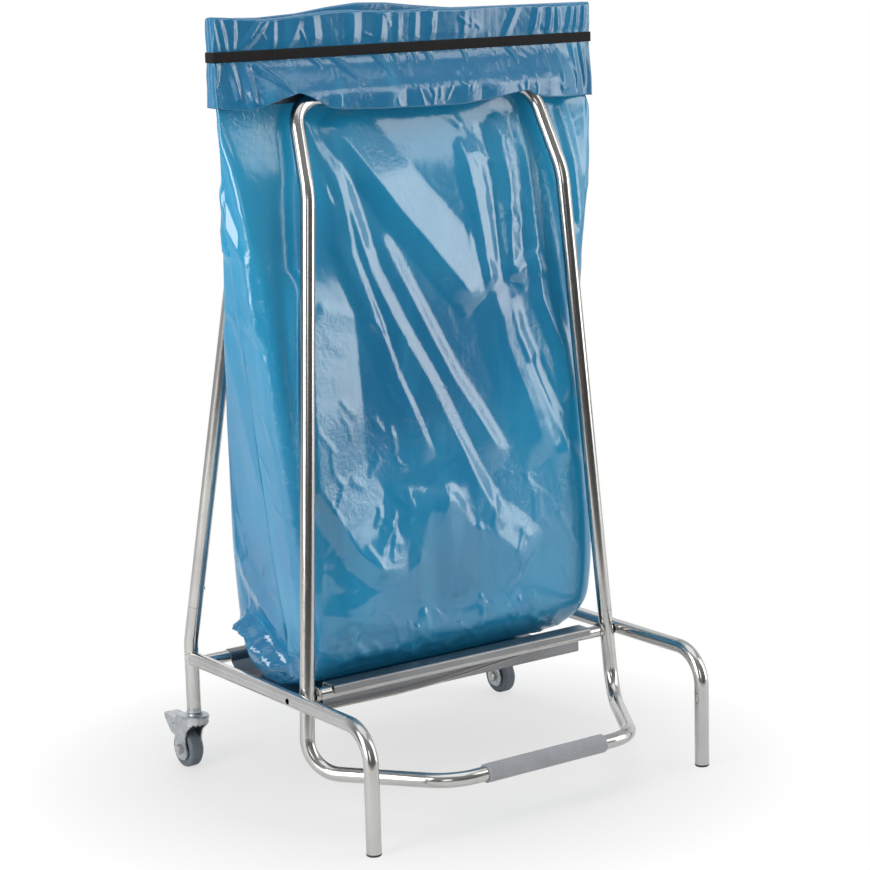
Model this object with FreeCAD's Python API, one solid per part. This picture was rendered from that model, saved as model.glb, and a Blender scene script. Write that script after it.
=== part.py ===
import FreeCAD, Part
import math
import os

# Pedal-operated stand for a refuse bag, in mm.
# X runs across the stand, Y from the pedal to the casters, Z up from the floor.
# The origin lies on the floor in the middle of the stand's outline.

# Stand as a whole
REAR_LEG_Y = 184.5
WHEELBASE = 423.0
HALF_TRACK = 263.0
RAIL_HEIGHT = 155.0
TUBE_OD = 19.0
TUBE_WALL = 1.2
CROSS_TUBE_OD = 16.0
FIT_CLEARANCE = 0.05
RUNNING_CLEARANCE = 0.06
BEND_SLACK = 0.01
HEX_CHAMFER_FLAT = 0.95
HEX_CHAMFER_DEG = 30.0

# Side rails and their front legs
RAIL_BEND_RADIUS = 45.0
PLUG_FLANGE_HEIGHT = 3.0
PLUG_CHAMFER = 1.0
PLUG_STEM_HEIGHT = 14.0
PLUG_RIB_COUNT = 3
PLUG_RIB_HEIGHT = 1.0
PLUG_RIB_PITCH = 3.6
PLUG_RIB_DEPTH = 0.5
ACCESS_HOLE_D = 8.0

# Rear posts and rear hoop
POST_FOOT_HEIGHT = 88.0
POST_BEND_HEIGHT = 176.0
POST_BEND_RADIUS = 60.0
REAR_SEAM_HEIGHT = 228.0
REAR_HOOP_HALF_WIDTH = 226.0
REAR_HOOP_LEAN = 150.0
HOOP_TOP_HEIGHT = 894.0
HOOP_CORNER_RADIUS = 38.0
JOINER_LENGTH = 56.0
JOINER_WALL = 1.5
SEAM_GAP = 0.3
SCREW_ABOVE_SEAM = 25.0
SCREW_HEAD_D = 6.5
SCREW_HEAD_HEIGHT = 2.0
# shares of the head's radius and height, from rim to middle
SCREW_DOME = ((0.0, 0.0), (1.0, 0.0), (0.9, 0.55), (0.55, 0.9), (0.0, 1.0))
SCREW_SHANK_D = 3.2
SCREW_SHANK_LENGTH = 3.2
WELD_BEAD = 1.6
WELD_OVERRUN = -1.0

# Cross tubes
REAR_CROSS_HEIGHT = 147.0
CROSS_TUBE_WALL = 1.2

# Pivot of the pedal frame
PIVOT_FORWARD = 252.0
PIVOT_BOLT_D = 5.0
PIVOT_HEAD_D = 7.4
PIVOT_HEAD_HEIGHT = 3.0
PIVOT_SOCKET_AF = 3.0
PIVOT_SOCKET_DEPTH = 1.8
PIVOT_HEAD_CHAMFER = 0.5
PIVOT_GAP = 0.65
WASHER_D = 15.0
WASHER_THICKNESS = 0.85
BUSH_D = 16.0
BUSH_LENGTH = 6.35
BAR_PLUG_LENGTH = 22.0
BAR_PLUG_LIP = 1.0
PIVOT_HALF_WIDTH = HALF_TRACK - TUBE_OD - PIVOT_GAP - WASHER_THICKNESS
ARM_INNER_END = PIVOT_HALF_WIDTH - TUBE_OD / 2 - PIVOT_GAP
FRONT_BAR_HALF_LENGTH = ARM_INNER_END - BUSH_LENGTH - BAR_PLUG_LIP
WELD_NUT_REACH = 14.0

# Pedal frame
KINK_HALF_WIDTH = 198.5
KINK_FORWARD = 226.0
KINK_HEIGHT = 782.0
KINK_RADIUS = 90.0
FRONT_HOOP_HALF_WIDTH = 185.0
FRONT_HOOP_FORWARD = 179.0
FRONT_SEAM_HEIGHT = 183.0
# the loop's knees carry on the line of the arms past the pivot
LOOP_KNEE_SPREAD = 6.7
LOOP_KNEE_REACH = 4.0
LOOP_KNEE_HALF_WIDTH = PIVOT_HALF_WIDTH + LOOP_KNEE_SPREAD
LOOP_KNEE_FORWARD = PIVOT_FORWARD + LOOP_KNEE_REACH
LOOP_KNEE_HEIGHT = 59.0
LOOP_KNEE_RADIUS = 43.0
PEDAL_HALF_WIDTH = 142.5
PEDAL_HEIGHT = 66.5
PEDAL_BEND_RADIUS = 62.0
SLEEVE_OD = 24.0
SLEEVE_HALF_LENGTH = 93.0
SLEEVE_GROOVE_COUNT = 30
SLEEVE_GROOVE_DEPTH = 0.55
SLEEVE_RIM_LENGTH = 3.0

# Jaws that hold the mouth of the bag
JAW_HALF_LENGTH = 290.0
JAW_THICKNESS = 1.5
JAW_FOOT_DROP = 4.0
JAW_RISE = 100.0
JAW_FOOT_HEIGHT = HOOP_TOP_HEIGHT - JAW_FOOT_DROP
JAW_TOP_HEIGHT = HOOP_TOP_HEIGHT + JAW_RISE
JAW_CORNER_RADIUS = 8.0
JAW_NOTCH_RADIUS = 2.0
JAW_CURL_HALF_LENGTH = 135.0

# Tray: one bent sheet hooked over the two cross tubes
TRAY_HALF_WIDTH = 207.0
TRAY_SHEET = 1.2
TRAY_LIP_DROP = 9.0
TRAY_SHELF = 18.0
TRAY_FLOOR_HEIGHT = 126.0
TRAY_FLOOR_REAR = 22.0
TRAY_BEND_RADIUS = 2.4
TRAY_HOOK_DROP = 4.0
TRAY_RISE_DROP = 6.0

# Bow wire under the front bar
WIRE_D = 3.0
WIRE_POINTS = ((-198.7, 130.8), (-101.5, 129.2), (-21.8, 131.7), (60.2, 139.0), (127.4, 145.0))
WIRE_EYE_GAP = 0.15
WIRE_CORNER_RADIUS = 4.0
WIRE_BOW_RADIUS = 150.0

# Bag of film and the elastic band round its mouth
FILM_WALL = 0.8
FILM_INNER_RADIUS = 1.2
MOUTH_END_GAP = 2.0
MOUTH_HALF_LENGTH = JAW_HALF_LENGTH - MOUTH_END_GAP
# height, reach to the left and right, forward reach of front and back, corner radius
BAG_SECTIONS = (
    (128.0, 188.0, 194.0, 122.0, 40.0, 22.0),
    (150.0, 205.0, 220.0, 196.0, 30.0, 26.0),
    (190.0, 211.0, 244.0, 227.0, 26.0, 28.0),
    (300.0, 230.0, 250.0, 230.0, 44.0, 26.0),
    (400.0, 241.0, 247.0, 226.5, 64.0, 24.0),
    (500.0, 253.0, 242.0, 223.0, 84.0, 22.0),
    (600.0, 263.0, 240.0, 215.5, 106.0, 20.0),
    (700.0, 272.0, 256.0, 208.0, 127.0, 18.0),
    (800.0, 280.0, 272.0, 197.0, 149.5, 12.0),
    (860.0, 283.0, 284.0, 173.5, 160.5, 6.0),
)
# drop below the top of the jaws, forward reach of front and back, corner radius
MOUTH_SECTIONS = (
    (118.0, 167.2, 161.6, 2.6),
    (108.0, 167.4, 161.4, 2.6),
    (74.0, 167.6, 161.4, 2.6),
    (0.0, 167.6, 161.4, 2.6),
)
FOLD_SINK = 3.0
# main folds: (across, height) points of the crest from its top, rise, reach to each side
FRONT_FOLDS = (
    (((-141.0, 836.0), (-124.0, 750.0), (-90.0, 650.0), (-26.0, 531.0), (48.0, 387.0), (86.0, 318.0)),
     6.5, 22.0, 30.0),
    (((-134.0, 834.0), (-100.0, 781.0), (-70.0, 741.0), (-13.0, 685.0), (66.0, 614.0)), 9.0, 60.0, 26.0),
    (((-84.0, 722.0), (-18.0, 592.0), (57.0, 466.0), (95.0, 405.0)), 5.0, 20.0, 34.0),
    (((-184.0, 690.0), (-184.0, 560.0), (-182.0, 420.0), (-120.0, 285.0)), 9.0, 76.0, 20.0),
    (((124.0, 836.0), (127.0, 760.0), (123.0, 640.0)), 6.0, 24.0, 20.0),
    (((118.0, 620.0), (138.0, 540.0), (168.0, 470.0), (182.0, 400.0)), 6.0, 20.0, 34.0),
    (((-18.0, 400.0), (33.0, 329.0), (130.0, 262.0)), 5.0, 45.0, 60.0),
    (((-30.0, 390.0), (-62.0, 300.0), (-166.0, 250.0)), 5.5, 40.0, 60.0),
)
REAR_FOLDS = (
    (((-246.0, 828.0), (-184.0, 660.0), (-140.0, 400.0)), 4.5, 26.0, 26.0),
    (((246.0, 828.0), (184.0, 660.0), (140.0, 400.0)), 4.5, 26.0, 26.0),
    (((-150.0, 828.0), (-104.0, 660.0), (-56.0, 430.0)), 4.5, 26.0, 26.0),
    (((150.0, 828.0), (104.0, 660.0), (56.0, 430.0)), 4.5, 26.0, 26.0),
    (((-166.0, 330.0), (-30.0, 262.0), (150.0, 292.0)), 6.0, 50.0, 50.0),
)
CUFF_END_GAP = 2.0
CUFF_TOP_GAP = 4.0
CUFF_DEPTH = 112.0
CUFF_HALF_LENGTH = JAW_HALF_LENGTH + CUFF_END_GAP
CUFF_TOP_HEIGHT = JAW_TOP_HEIGHT + CUFF_TOP_GAP
CUFF_HEM_HEIGHT = CUFF_TOP_HEIGHT - CUFF_DEPTH
CUFF_SKIRT_GAP = 6.0
CUFF_FOLD_RADIUS = 0.9
CUFF_FLARE_RADIUS = 12.0
CUFF_INNER_DEPTH = 10.0
CUFF_FLARE_DROP = 6.0
FRONT_CUFF_FORWARD = 171.0
REAR_CUFF_FORWARD = 156.0
BAND_WIDTH = 12.8
BAND_TOP_DROP = 41.0
BAND_END_GAP = 2.5
BAND_HIGH = CUFF_TOP_HEIGHT - BAND_TOP_DROP
BAND_LOW = BAND_HIGH - BAND_WIDTH
BAND_HALF_LENGTH = CUFF_HALF_LENGTH + BAND_END_GAP
BAND_FRONT_FORWARD = 173.5
BAND_REAR_FORWARD = 153.5
BAND_WALL = 1.5
BAND_END_RADIUS = 3.5

# Casters; lengths along Y count back from the swivel axis
CASTER_TRAIL = 20.0
WHEEL_D = 50.8
TYRE_WIDTH = 19.0
TYRE_SHOULDER = 4.5
WHEEL_CORE_D = 37.0
WHEEL_CORE_RIM = 3.0
WHEEL_CORE_WEB = 5.0
WHEEL_CORE_STEP = 1.2
WHEEL_CORE_INSET = 1.0
HUB_D = 15.0
HUB_HALF_LENGTH = 11.2
AXLE_D = 8.0
AXLE_HEAD_AF = 13.0
AXLE_HEAD_HEIGHT = 4.5
AXLE_NUT_HEIGHT = 5.0
AXLE_END_REACH = 1.5
AXLE_CHAMFER = 0.8
FORK_HALF_WIDTH = 13.5
FORK_SHEET = 2.0
FORK_BEND_RADIUS = 4.0
# back and height of each corner of the fork's side, with its radius
FORK_OUTLINE = (
    (-12.0, 73.0, 0.0),
    (-12.0, 63.5, 3.0),
    (2.0, 53.0, 12.0),
    (7.0, 39.0, 12.0),
    (2.5, 27.0, 8.0),
    (4.5, 11.5, 11.0),
    (32.5, 11.5, 12.0),
    (32.0, 44.0, 3.0),
    (43.5, 44.0, 5.3),
    (43.5, 56.5, 5.3),
    (31.0, 57.5, 4.0),
    (29.0, 73.0, 0.0),
)
CROWN_TOP_HEIGHT = 72.0
CROWN_D = 38.0
LIP_DEPTH = 7.0
LIP_WALL = 1.5
LIP_BACK = 4.0
LIP_NOTCH_COUNT = 5
LIP_NOTCH_D = 3.4
LIP_NOTCH_STEP_DEG = 18.0
# radius and height over the crown of each step of the swivel head
HEAD_PROFILE = ((20.0, 0.0), (20.0, 2.4), (18.6, 4.0), (12.5, 5.4), (11.4, 7.2), (8.0, 7.7))
COLLAR_HEIGHT = 80.0
COLLAR_GROOVE_DEPTH = 0.6
COLLAR_GROOVE_HEIGHT = 84.0
COLLAR_GROOVE_WIDTH = 0.8
STEM_TOP_HEIGHT = 114.0
STEM_CHAMFER = 1.5
KING_PIN_D = 8.0
KING_RIVET_D = 12.0
KING_RIVET_HEIGHT = 2.5
KING_RIVET_CHAMFER = 1.5
KING_RIVET_GAP = 0.3
BRAKE_HALF_WIDTH = 11.0
BRAKE_SHEET = 1.2
BRAKE_PLATE_HEIGHT = 66.0
BRAKE_PLATE_FRONT = 22.0
BRAKE_PLATE_REAR = 65.5
BRAKE_PLATE_CORNER = 4.0
# back and height of each corner of the lever's cheeks, with its radius
BRAKE_CHEEK = (
    (30.0, 65.4, 0.0),
    (62.0, 65.4, 0.0),
    (62.0, 61.0, 2.0),
    (46.0, 43.0, 5.0),
    (31.5, 43.0, 5.0),
    (30.0, 52.0, 3.0),
)
BRAKE_PIN_BACK = 37.4
BRAKE_PIN_HEIGHT = 50.0
BRAKE_PIN_D = 4.0
BRAKE_PIN_HEAD_D = 6.5
BRAKE_PIN_HEAD = 1.2
BRAKE_PIN_TAPER = 0.8
SHOE_D = 2.4
SHOE_BACK = 39.6
SHOE_HEIGHT = 45.4

SIDES = {"left": -1.0, "right": 1.0}
X_AXIS = FreeCAD.Vector(1, 0, 0)
Y_AXIS = FreeCAD.Vector(0, 1, 0)
Z_AXIS = FreeCAD.Vector(0, 0, 1)


def at(x, forward, z):
    """Point given by its distance in front of the rear legs."""
    return FreeCAD.Vector(x, REAR_LEG_Y - forward, z)


def mirrored(points):
    """The same path on the other side of the stand, run backwards."""
    return [FreeCAD.Vector(-p.x, p.y, p.z) for p in reversed(points)]


def rounded_edges(points, radii):
    """Straight runs joined by true arcs; radii belong to the inner corners."""
    edges = []
    start = points[0]
    for corner, radius, before, after in zip(points[1:-1], radii, points, points[2:]):
        into = (before - corner).normalize()
        out = (after - corner).normalize()
        half_angle = into.getAngle(out) / 2
        setback = radius / math.tan(half_angle)
        bisector = (into + out).normalize()
        centre = corner + bisector * (radius / math.sin(half_angle))
        arc_start = corner + into * setback
        arc_end = corner + out * setback
        edges.append(Part.LineSegment(start, arc_start).toShape())
        edges.append(Part.Arc(arc_start, centre - bisector * radius, arc_end).toShape())
        start = arc_end
    edges.append(Part.LineSegment(start, points[-1]).toShape())
    return edges


def swept(points, radii, outer, inner):
    """Round section carried along a bent path: cylinders on the runs, tori in the bends."""
    pieces = []
    for edge in rounded_edges(points, radii):
        start = edge.valueAt(edge.FirstParameter)
        direction = edge.tangentAt(edge.FirstParameter)
        section = Part.Face(Part.Wire(Part.makeCircle(outer / 2, start, direction)))
        if inner:
            section = section.cut(Part.Face(Part.Wire(Part.makeCircle(inner / 2, start, direction))))
        if isinstance(edge.Curve, Part.Line):
            pieces.append(section.extrude(edge.valueAt(edge.LastParameter) - start))
            continue
        centre = edge.Curve.Center
        axis = (start - centre).cross(direction)
        angle = math.degrees(edge.LastParameter - edge.FirstParameter)
        pieces.append(section.revolve(centre, axis, angle))
    if len(pieces) == 1:
        return pieces[0]
    return pieces[0].fuse(pieces[1:]).removeSplitter()


def rod(points, radii, diameter):
    """Solid round bar bent along a path."""
    return swept(points, radii, diameter, 0)


def tube(points, radii, outer, wall):
    """Tube bent along a path, open at both ends."""
    return swept(points, radii, outer, outer - 2 * wall)


def cylinder(diameter, base, direction, length):
    return Part.makeCylinder(diameter / 2, length, base, direction)


def ring(outer, inner, base, direction, length):
    return cylinder(outer, base, direction, length).cut(cylinder(inner, base, direction, length))


def revolved(profile, base, direction):
    """Turned part: profile points are (radius, distance along the axis)."""
    points = [FreeCAD.Vector(r, 0, h) for r, h in profile]
    face = Part.Face(Part.makePolygon(points + points[:1]))
    solid = face.revolve(FreeCAD.Vector(), Z_AXIS, 360)
    solid.Placement = FreeCAD.Placement(base, FreeCAD.Rotation(Z_AXIS, direction))
    return solid


def hexagon(across_flats, base, direction, length):
    radius = across_flats / math.sqrt(3)
    corners = [FreeCAD.Vector(radius * math.cos(a), radius * math.sin(a), 0)
               for a in [math.radians(60 * i) for i in range(7)]]
    solid = Part.Face(Part.makePolygon(corners)).extrude(Z_AXIS * length)
    solid.Placement = FreeCAD.Placement(base, FreeCAD.Rotation(Z_AXIS, direction))
    return solid


def hex_head(across_flats, base, direction, length):
    """Hexagon with its outer corners turned off."""
    radius = across_flats / math.sqrt(3)
    flat = across_flats / 2 * HEX_CHAMFER_FLAT
    drop = (radius - flat) * math.tan(math.radians(HEX_CHAMFER_DEG))
    cone = revolved([(0, 0), (radius, 0), (radius, length - drop), (flat, length), (0, length)],
                    base, direction)
    return hexagon(across_flats, base, direction, length).common(cone)


def bent_sheet(points, radii, sheet):
    """Face of a bent sheet in the Y-Z plane: centre line points (y, z), bend radii."""
    line = [FreeCAD.Vector(0, y, z) for y, z in points]
    edges = rounded_edges(line, radii)
    near, far = [], []
    for edge in edges:
        tangents = [edge.tangentAt(p) for p in (edge.FirstParameter, edge.LastParameter)]
        ends = [edge.valueAt(edge.FirstParameter), edge.valueAt(edge.LastParameter)]
        middle = edge.valueAt((edge.FirstParameter + edge.LastParameter) / 2)
        middle_tangent = edge.tangentAt((edge.FirstParameter + edge.LastParameter) / 2)
        for chain, offset in ((near, sheet / 2), (far, -sheet / 2)):
            a, b = [e + X_AXIS.cross(t) * offset for e, t in zip(ends, tangents)]
            m = middle + X_AXIS.cross(middle_tangent) * offset
            if isinstance(edge.Curve, Part.Line):
                chain.append(Part.LineSegment(a, b).toShape())
            else:
                chain.append(Part.Arc(a, m, b).toShape())
    caps = []
    for i in (0, -1):
        ends_near = near[i].Vertexes[i].Point
        ends_far = far[i].Vertexes[i].Point
        caps.append(Part.LineSegment(ends_near, ends_far).toShape())
    return Part.Face(Part.Wire(Part.__sortEdges__(near + far + caps)))


# Fixed frame

def side_rail(side):
    """Rail from the rear post to the front, bent down into the front leg."""
    x = side * HALF_TRACK
    path = [at(x, 0, RAIL_HEIGHT), at(x, WHEELBASE, RAIL_HEIGHT), at(x, WHEELBASE, PLUG_FLANGE_HEIGHT)]
    rail = tube(path, [RAIL_BEND_RADIUS], TUBE_OD, TUBE_WALL)
    post = cylinder(TUBE_OD, at(x, 0, POST_FOOT_HEIGHT), Z_AXIS, POST_BEND_HEIGHT)
    wall_hole = cylinder(PIVOT_BOLT_D + 2 * FIT_CLEARANCE, at(0, PIVOT_FORWARD, RAIL_HEIGHT),
                         X_AXIS * side, HALF_TRACK)
    access = cylinder(ACCESS_HOLE_D, at(x, PIVOT_FORWARD, RAIL_HEIGHT), X_AXIS * side, TUBE_OD)
    return rail.cut(post).cut(wall_hole).cut(access)


def foot_plugs():
    """Plastic feet pushed into the front legs, with ribs that grip the bore."""
    bore = TUBE_OD / 2 - TUBE_WALL
    core = bore - PLUG_RIB_DEPTH
    profile = [(0, 0), (TUBE_OD / 2 - PLUG_CHAMFER, 0), (TUBE_OD / 2, PLUG_CHAMFER),
               (TUBE_OD / 2, PLUG_FLANGE_HEIGHT), (core, PLUG_FLANGE_HEIGHT)]
    height = PLUG_FLANGE_HEIGHT
    for _ in range(PLUG_RIB_COUNT):
        height += PLUG_RIB_PITCH
        profile += [(core, height - PLUG_RIB_HEIGHT), (bore - FIT_CLEARANCE, height - PLUG_RIB_HEIGHT / 2),
                    (core, height)]
    top = PLUG_FLANGE_HEIGHT + PLUG_STEM_HEIGHT
    profile += [(core, top - PLUG_CHAMFER), (core - PLUG_CHAMFER, top), (0, top)]
    return [revolved(profile, at(side * HALF_TRACK, WHEELBASE, 0), Z_AXIS) for side in SIDES.values()]


def rear_arm_point(side, height):
    """Point on the leaning part of a rear post."""
    t = (height - POST_BEND_HEIGHT) / (HOOP_TOP_HEIGHT - POST_BEND_HEIGHT)
    x = HALF_TRACK + t * (REAR_HOOP_HALF_WIDTH - HALF_TRACK)
    return at(side * x, t * REAR_HOOP_LEAN, height)


def rear_arm_direction(side):
    return (rear_arm_point(side, HOOP_TOP_HEIGHT) - rear_arm_point(side, POST_BEND_HEIGHT)).normalize()


def rear_post(side):
    """Upright over the caster, bent forward above the rail."""
    x = side * HALF_TRACK
    path = [at(x, 0, POST_FOOT_HEIGHT), at(x, 0, POST_BEND_HEIGHT), rear_arm_point(side, REAR_SEAM_HEIGHT)]
    post = tube(path, [POST_BEND_RADIUS], TUBE_OD, TUBE_WALL)
    return post.cut(screw_holes(side))


def screw_place(side):
    """Middle of the arm at the screw, and the way the screw looks."""
    centre = rear_arm_point(side, REAR_SEAM_HEIGHT) + rear_arm_direction(side) * SCREW_ABOVE_SEAM
    inward = Y_AXIS.cross(rear_arm_direction(side)) * -side
    return centre, inward.normalize()


def screw_holes(side):
    centre, inward = screw_place(side)
    return cylinder(SCREW_SHANK_D + 2 * FIT_CLEARANCE, centre, inward, TUBE_OD)


def rear_hoop():
    """Upper rear frame in one bent tube, pushed on the joiners of the posts."""
    gap = SEAM_GAP / math.cos(rear_arm_direction(1).getAngle(Z_AXIS))
    left = [rear_arm_point(-1, REAR_SEAM_HEIGHT + gap), rear_arm_point(-1, HOOP_TOP_HEIGHT)]
    path = left + mirrored(left)
    hoop = tube(path, [HOOP_CORNER_RADIUS] * 2, TUBE_OD, TUBE_WALL)
    holes = [screw_holes(side) for side in SIDES.values()]
    return hoop.cut(Part.makeCompound(holes))


def joiner(middle, direction):
    outer = TUBE_OD - 2 * TUBE_WALL - 2 * FIT_CLEARANCE
    base = middle - direction * (JOINER_LENGTH / 2)
    return ring(outer, outer - 2 * JOINER_WALL, base, direction, JOINER_LENGTH)


def rear_joiners():
    """Inner sleeves across the rear seams."""
    sleeves = []
    for side in SIDES.values():
        middle = rear_arm_point(side, REAR_SEAM_HEIGHT) + rear_arm_direction(side) * (SEAM_GAP / 2)
        sleeves.append(joiner(middle, rear_arm_direction(side)).cut(screw_holes(side)))
    return sleeves


def joint_screws():
    """Domed screws through the upper frame into the rear joiners."""
    screws = []
    for side in SIDES.values():
        centre, inward = screw_place(side)
        seat = centre + inward * (TUBE_OD / 2)
        radius = SCREW_HEAD_D / 2
        dome = [(radius * r, SCREW_HEAD_HEIGHT * h) for r, h in SCREW_DOME]
        head = revolved(dome, seat, inward)
        tube_face = cylinder(TUBE_OD, centre - rear_arm_direction(side) * TUBE_OD,
                             rear_arm_direction(side), 2 * TUBE_OD)
        shank = cylinder(SCREW_SHANK_D, seat - inward * SCREW_SHANK_LENGTH, inward, SCREW_SHANK_LENGTH)
        screws.append(head.cut(tube_face).fuse(shank))
    return screws


def rear_cross_tube():
    """Tube welded between the rear posts."""
    length = 2 * HALF_TRACK
    start = at(-HALF_TRACK, 0, REAR_CROSS_HEIGHT)
    cross = ring(CROSS_TUBE_OD, CROSS_TUBE_OD - 2 * CROSS_TUBE_WALL, start, X_AXIS, length)
    posts = [cylinder(TUBE_OD, at(s * HALF_TRACK, 0, POST_FOOT_HEIGHT), Z_AXIS, POST_BEND_HEIGHT)
             for s in SIDES.values()]
    return cross.cut(Part.makeCompound(posts))


def weld_bead(side, direction, diameter, height, keep):
    """Bead in the saddle where a tube meets a post, kept on the open side of the joint."""
    centre = at(side * HALF_TRACK, 0, height)
    post = cylinder(TUBE_OD, centre - Z_AXIS * TUBE_OD, Z_AXIS, 2 * TUBE_OD)
    post_skin = cylinder(TUBE_OD + 2 * WELD_BEAD, centre - Z_AXIS * TUBE_OD, Z_AXIS, 2 * TUBE_OD)
    branch = cylinder(diameter, centre, direction, TUBE_OD)
    branch_skin = cylinder(diameter + 2 * WELD_BEAD, centre, direction, TUBE_OD)
    window = Part.makeBox(2 * TUBE_OD, 2 * TUBE_OD, 4 * TUBE_OD, centre - Z_AXIS * (2 * TUBE_OD))
    window.translate(keep * (TUBE_OD + WELD_OVERRUN) - FreeCAD.Vector(TUBE_OD, TUBE_OD, 0))
    return branch_skin.common(post_skin).cut(post).cut(branch).common(window)


def frame_welds():
    """Weld beads of the rails and of the rear cross tube."""
    beads = []
    for side in SIDES.values():
        outward = X_AXIS * side
        beads.append(weld_bead(side, -Y_AXIS, TUBE_OD, RAIL_HEIGHT, outward))
        beads.append(weld_bead(side, -outward, CROSS_TUBE_OD, REAR_CROSS_HEIGHT, Y_AXIS))
    return beads


def front_cross_bar():
    """Bar between the arms, in line with the pivot."""
    start = at(-FRONT_BAR_HALF_LENGTH, PIVOT_FORWARD, RAIL_HEIGHT)
    bore = CROSS_TUBE_OD - 2 * CROSS_TUBE_WALL
    return ring(CROSS_TUBE_OD, bore, start, X_AXIS, 2 * FRONT_BAR_HALF_LENGTH)


def bar_plugs():
    """Threaded plugs pressed into the ends of the front bar."""
    plugs = []
    for side in SIDES.values():
        start = at(side * FRONT_BAR_HALF_LENGTH, PIVOT_FORWARD, RAIL_HEIGHT)
        bore = CROSS_TUBE_OD - 2 * CROSS_TUBE_WALL - 2 * FIT_CLEARANCE
        body = cylinder(bore, start, X_AXIS * -side, BAR_PLUG_LENGTH)
        lip = cylinder(BUSH_D, start, X_AXIS * side, BAR_PLUG_LIP)
        drilled = cylinder(PIVOT_BOLT_D + 2 * FIT_CLEARANCE, start + X_AXIS * (side * BAR_PLUG_LIP),
                           X_AXIS * -side, BAR_PLUG_LIP + WELD_NUT_REACH)
        plugs.append(body.fuse(lip).cut(drilled))
    return plugs


def spacer_bushes():
    """Bushes between the front bar and the arms."""
    bushes = []
    inner_end = FRONT_BAR_HALF_LENGTH + BAR_PLUG_LIP
    for side in SIDES.values():
        start = at(side * inner_end, PIVOT_FORWARD, RAIL_HEIGHT)
        bushes.append(ring(BUSH_D, PIVOT_BOLT_D + 2 * FIT_CLEARANCE, start, X_AXIS * side,
                           BUSH_LENGTH))
    return bushes


def pivot_washers():
    """Washers that keep the arms off the rails."""
    washers = []
    inner_end = PIVOT_HALF_WIDTH + TUBE_OD / 2 + PIVOT_GAP
    for side in SIDES.values():
        start = at(side * inner_end, PIVOT_FORWARD, RAIL_HEIGHT)
        washer = ring(WASHER_D, PIVOT_BOLT_D + 2 * FIT_CLEARANCE, start, X_AXIS * side,
                      WASHER_THICKNESS)
        washers.append(washer)
    return washers


def pivot_bolts():
    """Socket-head bolts, put in through the access holes of the rails."""
    bolts = []
    for side in SIDES.values():
        seat_x = HALF_TRACK - TUBE_OD / 2 + TUBE_WALL
        seat = at(side * seat_x, PIVOT_FORWARD, RAIL_HEIGHT)
        end_x = FRONT_BAR_HALF_LENGTH - WELD_NUT_REACH + BAR_PLUG_LIP
        shank = cylinder(PIVOT_BOLT_D, at(side * end_x, PIVOT_FORWARD, RAIL_HEIGHT), X_AXIS * side,
                         seat_x - end_x + PIVOT_SOCKET_DEPTH / 2)
        radius = PIVOT_HEAD_D / 2
        head = revolved([(0, 0), (radius, 0), (radius, PIVOT_HEAD_HEIGHT - PIVOT_HEAD_CHAMFER),
                         (radius - PIVOT_HEAD_CHAMFER, PIVOT_HEAD_HEIGHT), (0, PIVOT_HEAD_HEIGHT)],
                        seat, X_AXIS * side)
        bore = TUBE_OD - 2 * TUBE_WALL
        rail_bore = cylinder(bore, at(side * HALF_TRACK, PIVOT_FORWARD + TUBE_OD, RAIL_HEIGHT),
                             Y_AXIS, 2 * TUBE_OD)
        socket_start = at(side * (seat_x + PIVOT_HEAD_HEIGHT), PIVOT_FORWARD, RAIL_HEIGHT)
        socket = hexagon(PIVOT_SOCKET_AF, socket_start, X_AXIS * -side, PIVOT_SOCKET_DEPTH)
        bolts.append(head.common(rail_bore).fuse(shank).cut(socket))
    return bolts


def tray():
    """Tray of one bent sheet, hooked over the front bar and the rear cross tube."""
    half = TRAY_SHEET / 2
    reach = CROSS_TUBE_OD / 2 + FIT_CLEARANCE + half
    lip_y = REAR_LEG_Y - PIVOT_FORWARD - reach
    top_z = RAIL_HEIGHT + reach
    drop_y = REAR_LEG_Y - PIVOT_FORWARD + TRAY_SHELF
    floor_z = TRAY_FLOOR_HEIGHT + half
    hook_front = REAR_LEG_Y - reach
    hook_back = REAR_LEG_Y + reach
    hook_top = REAR_CROSS_HEIGHT + reach
    points = [
        (lip_y, top_z - TRAY_LIP_DROP),
        (lip_y, top_z),
        (drop_y, top_z),
        (drop_y, floor_z),
        (REAR_LEG_Y - TRAY_FLOOR_REAR, floor_z),
        (hook_front, REAR_CROSS_HEIGHT - TRAY_RISE_DROP),
        (hook_front, hook_top),
        (hook_back, hook_top),
        (hook_back, REAR_CROSS_HEIGHT - TRAY_HOOK_DROP),
    ]
    radii = [TRAY_BEND_RADIUS] * 5 + [reach - BEND_SLACK] * 2
    face = bent_sheet(points, radii, TRAY_SHEET)
    sheet = face.extrude(X_AXIS * (2 * TRAY_HALF_WIDTH))
    sheet.translate(X_AXIS * -TRAY_HALF_WIDTH)
    return sheet


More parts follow.
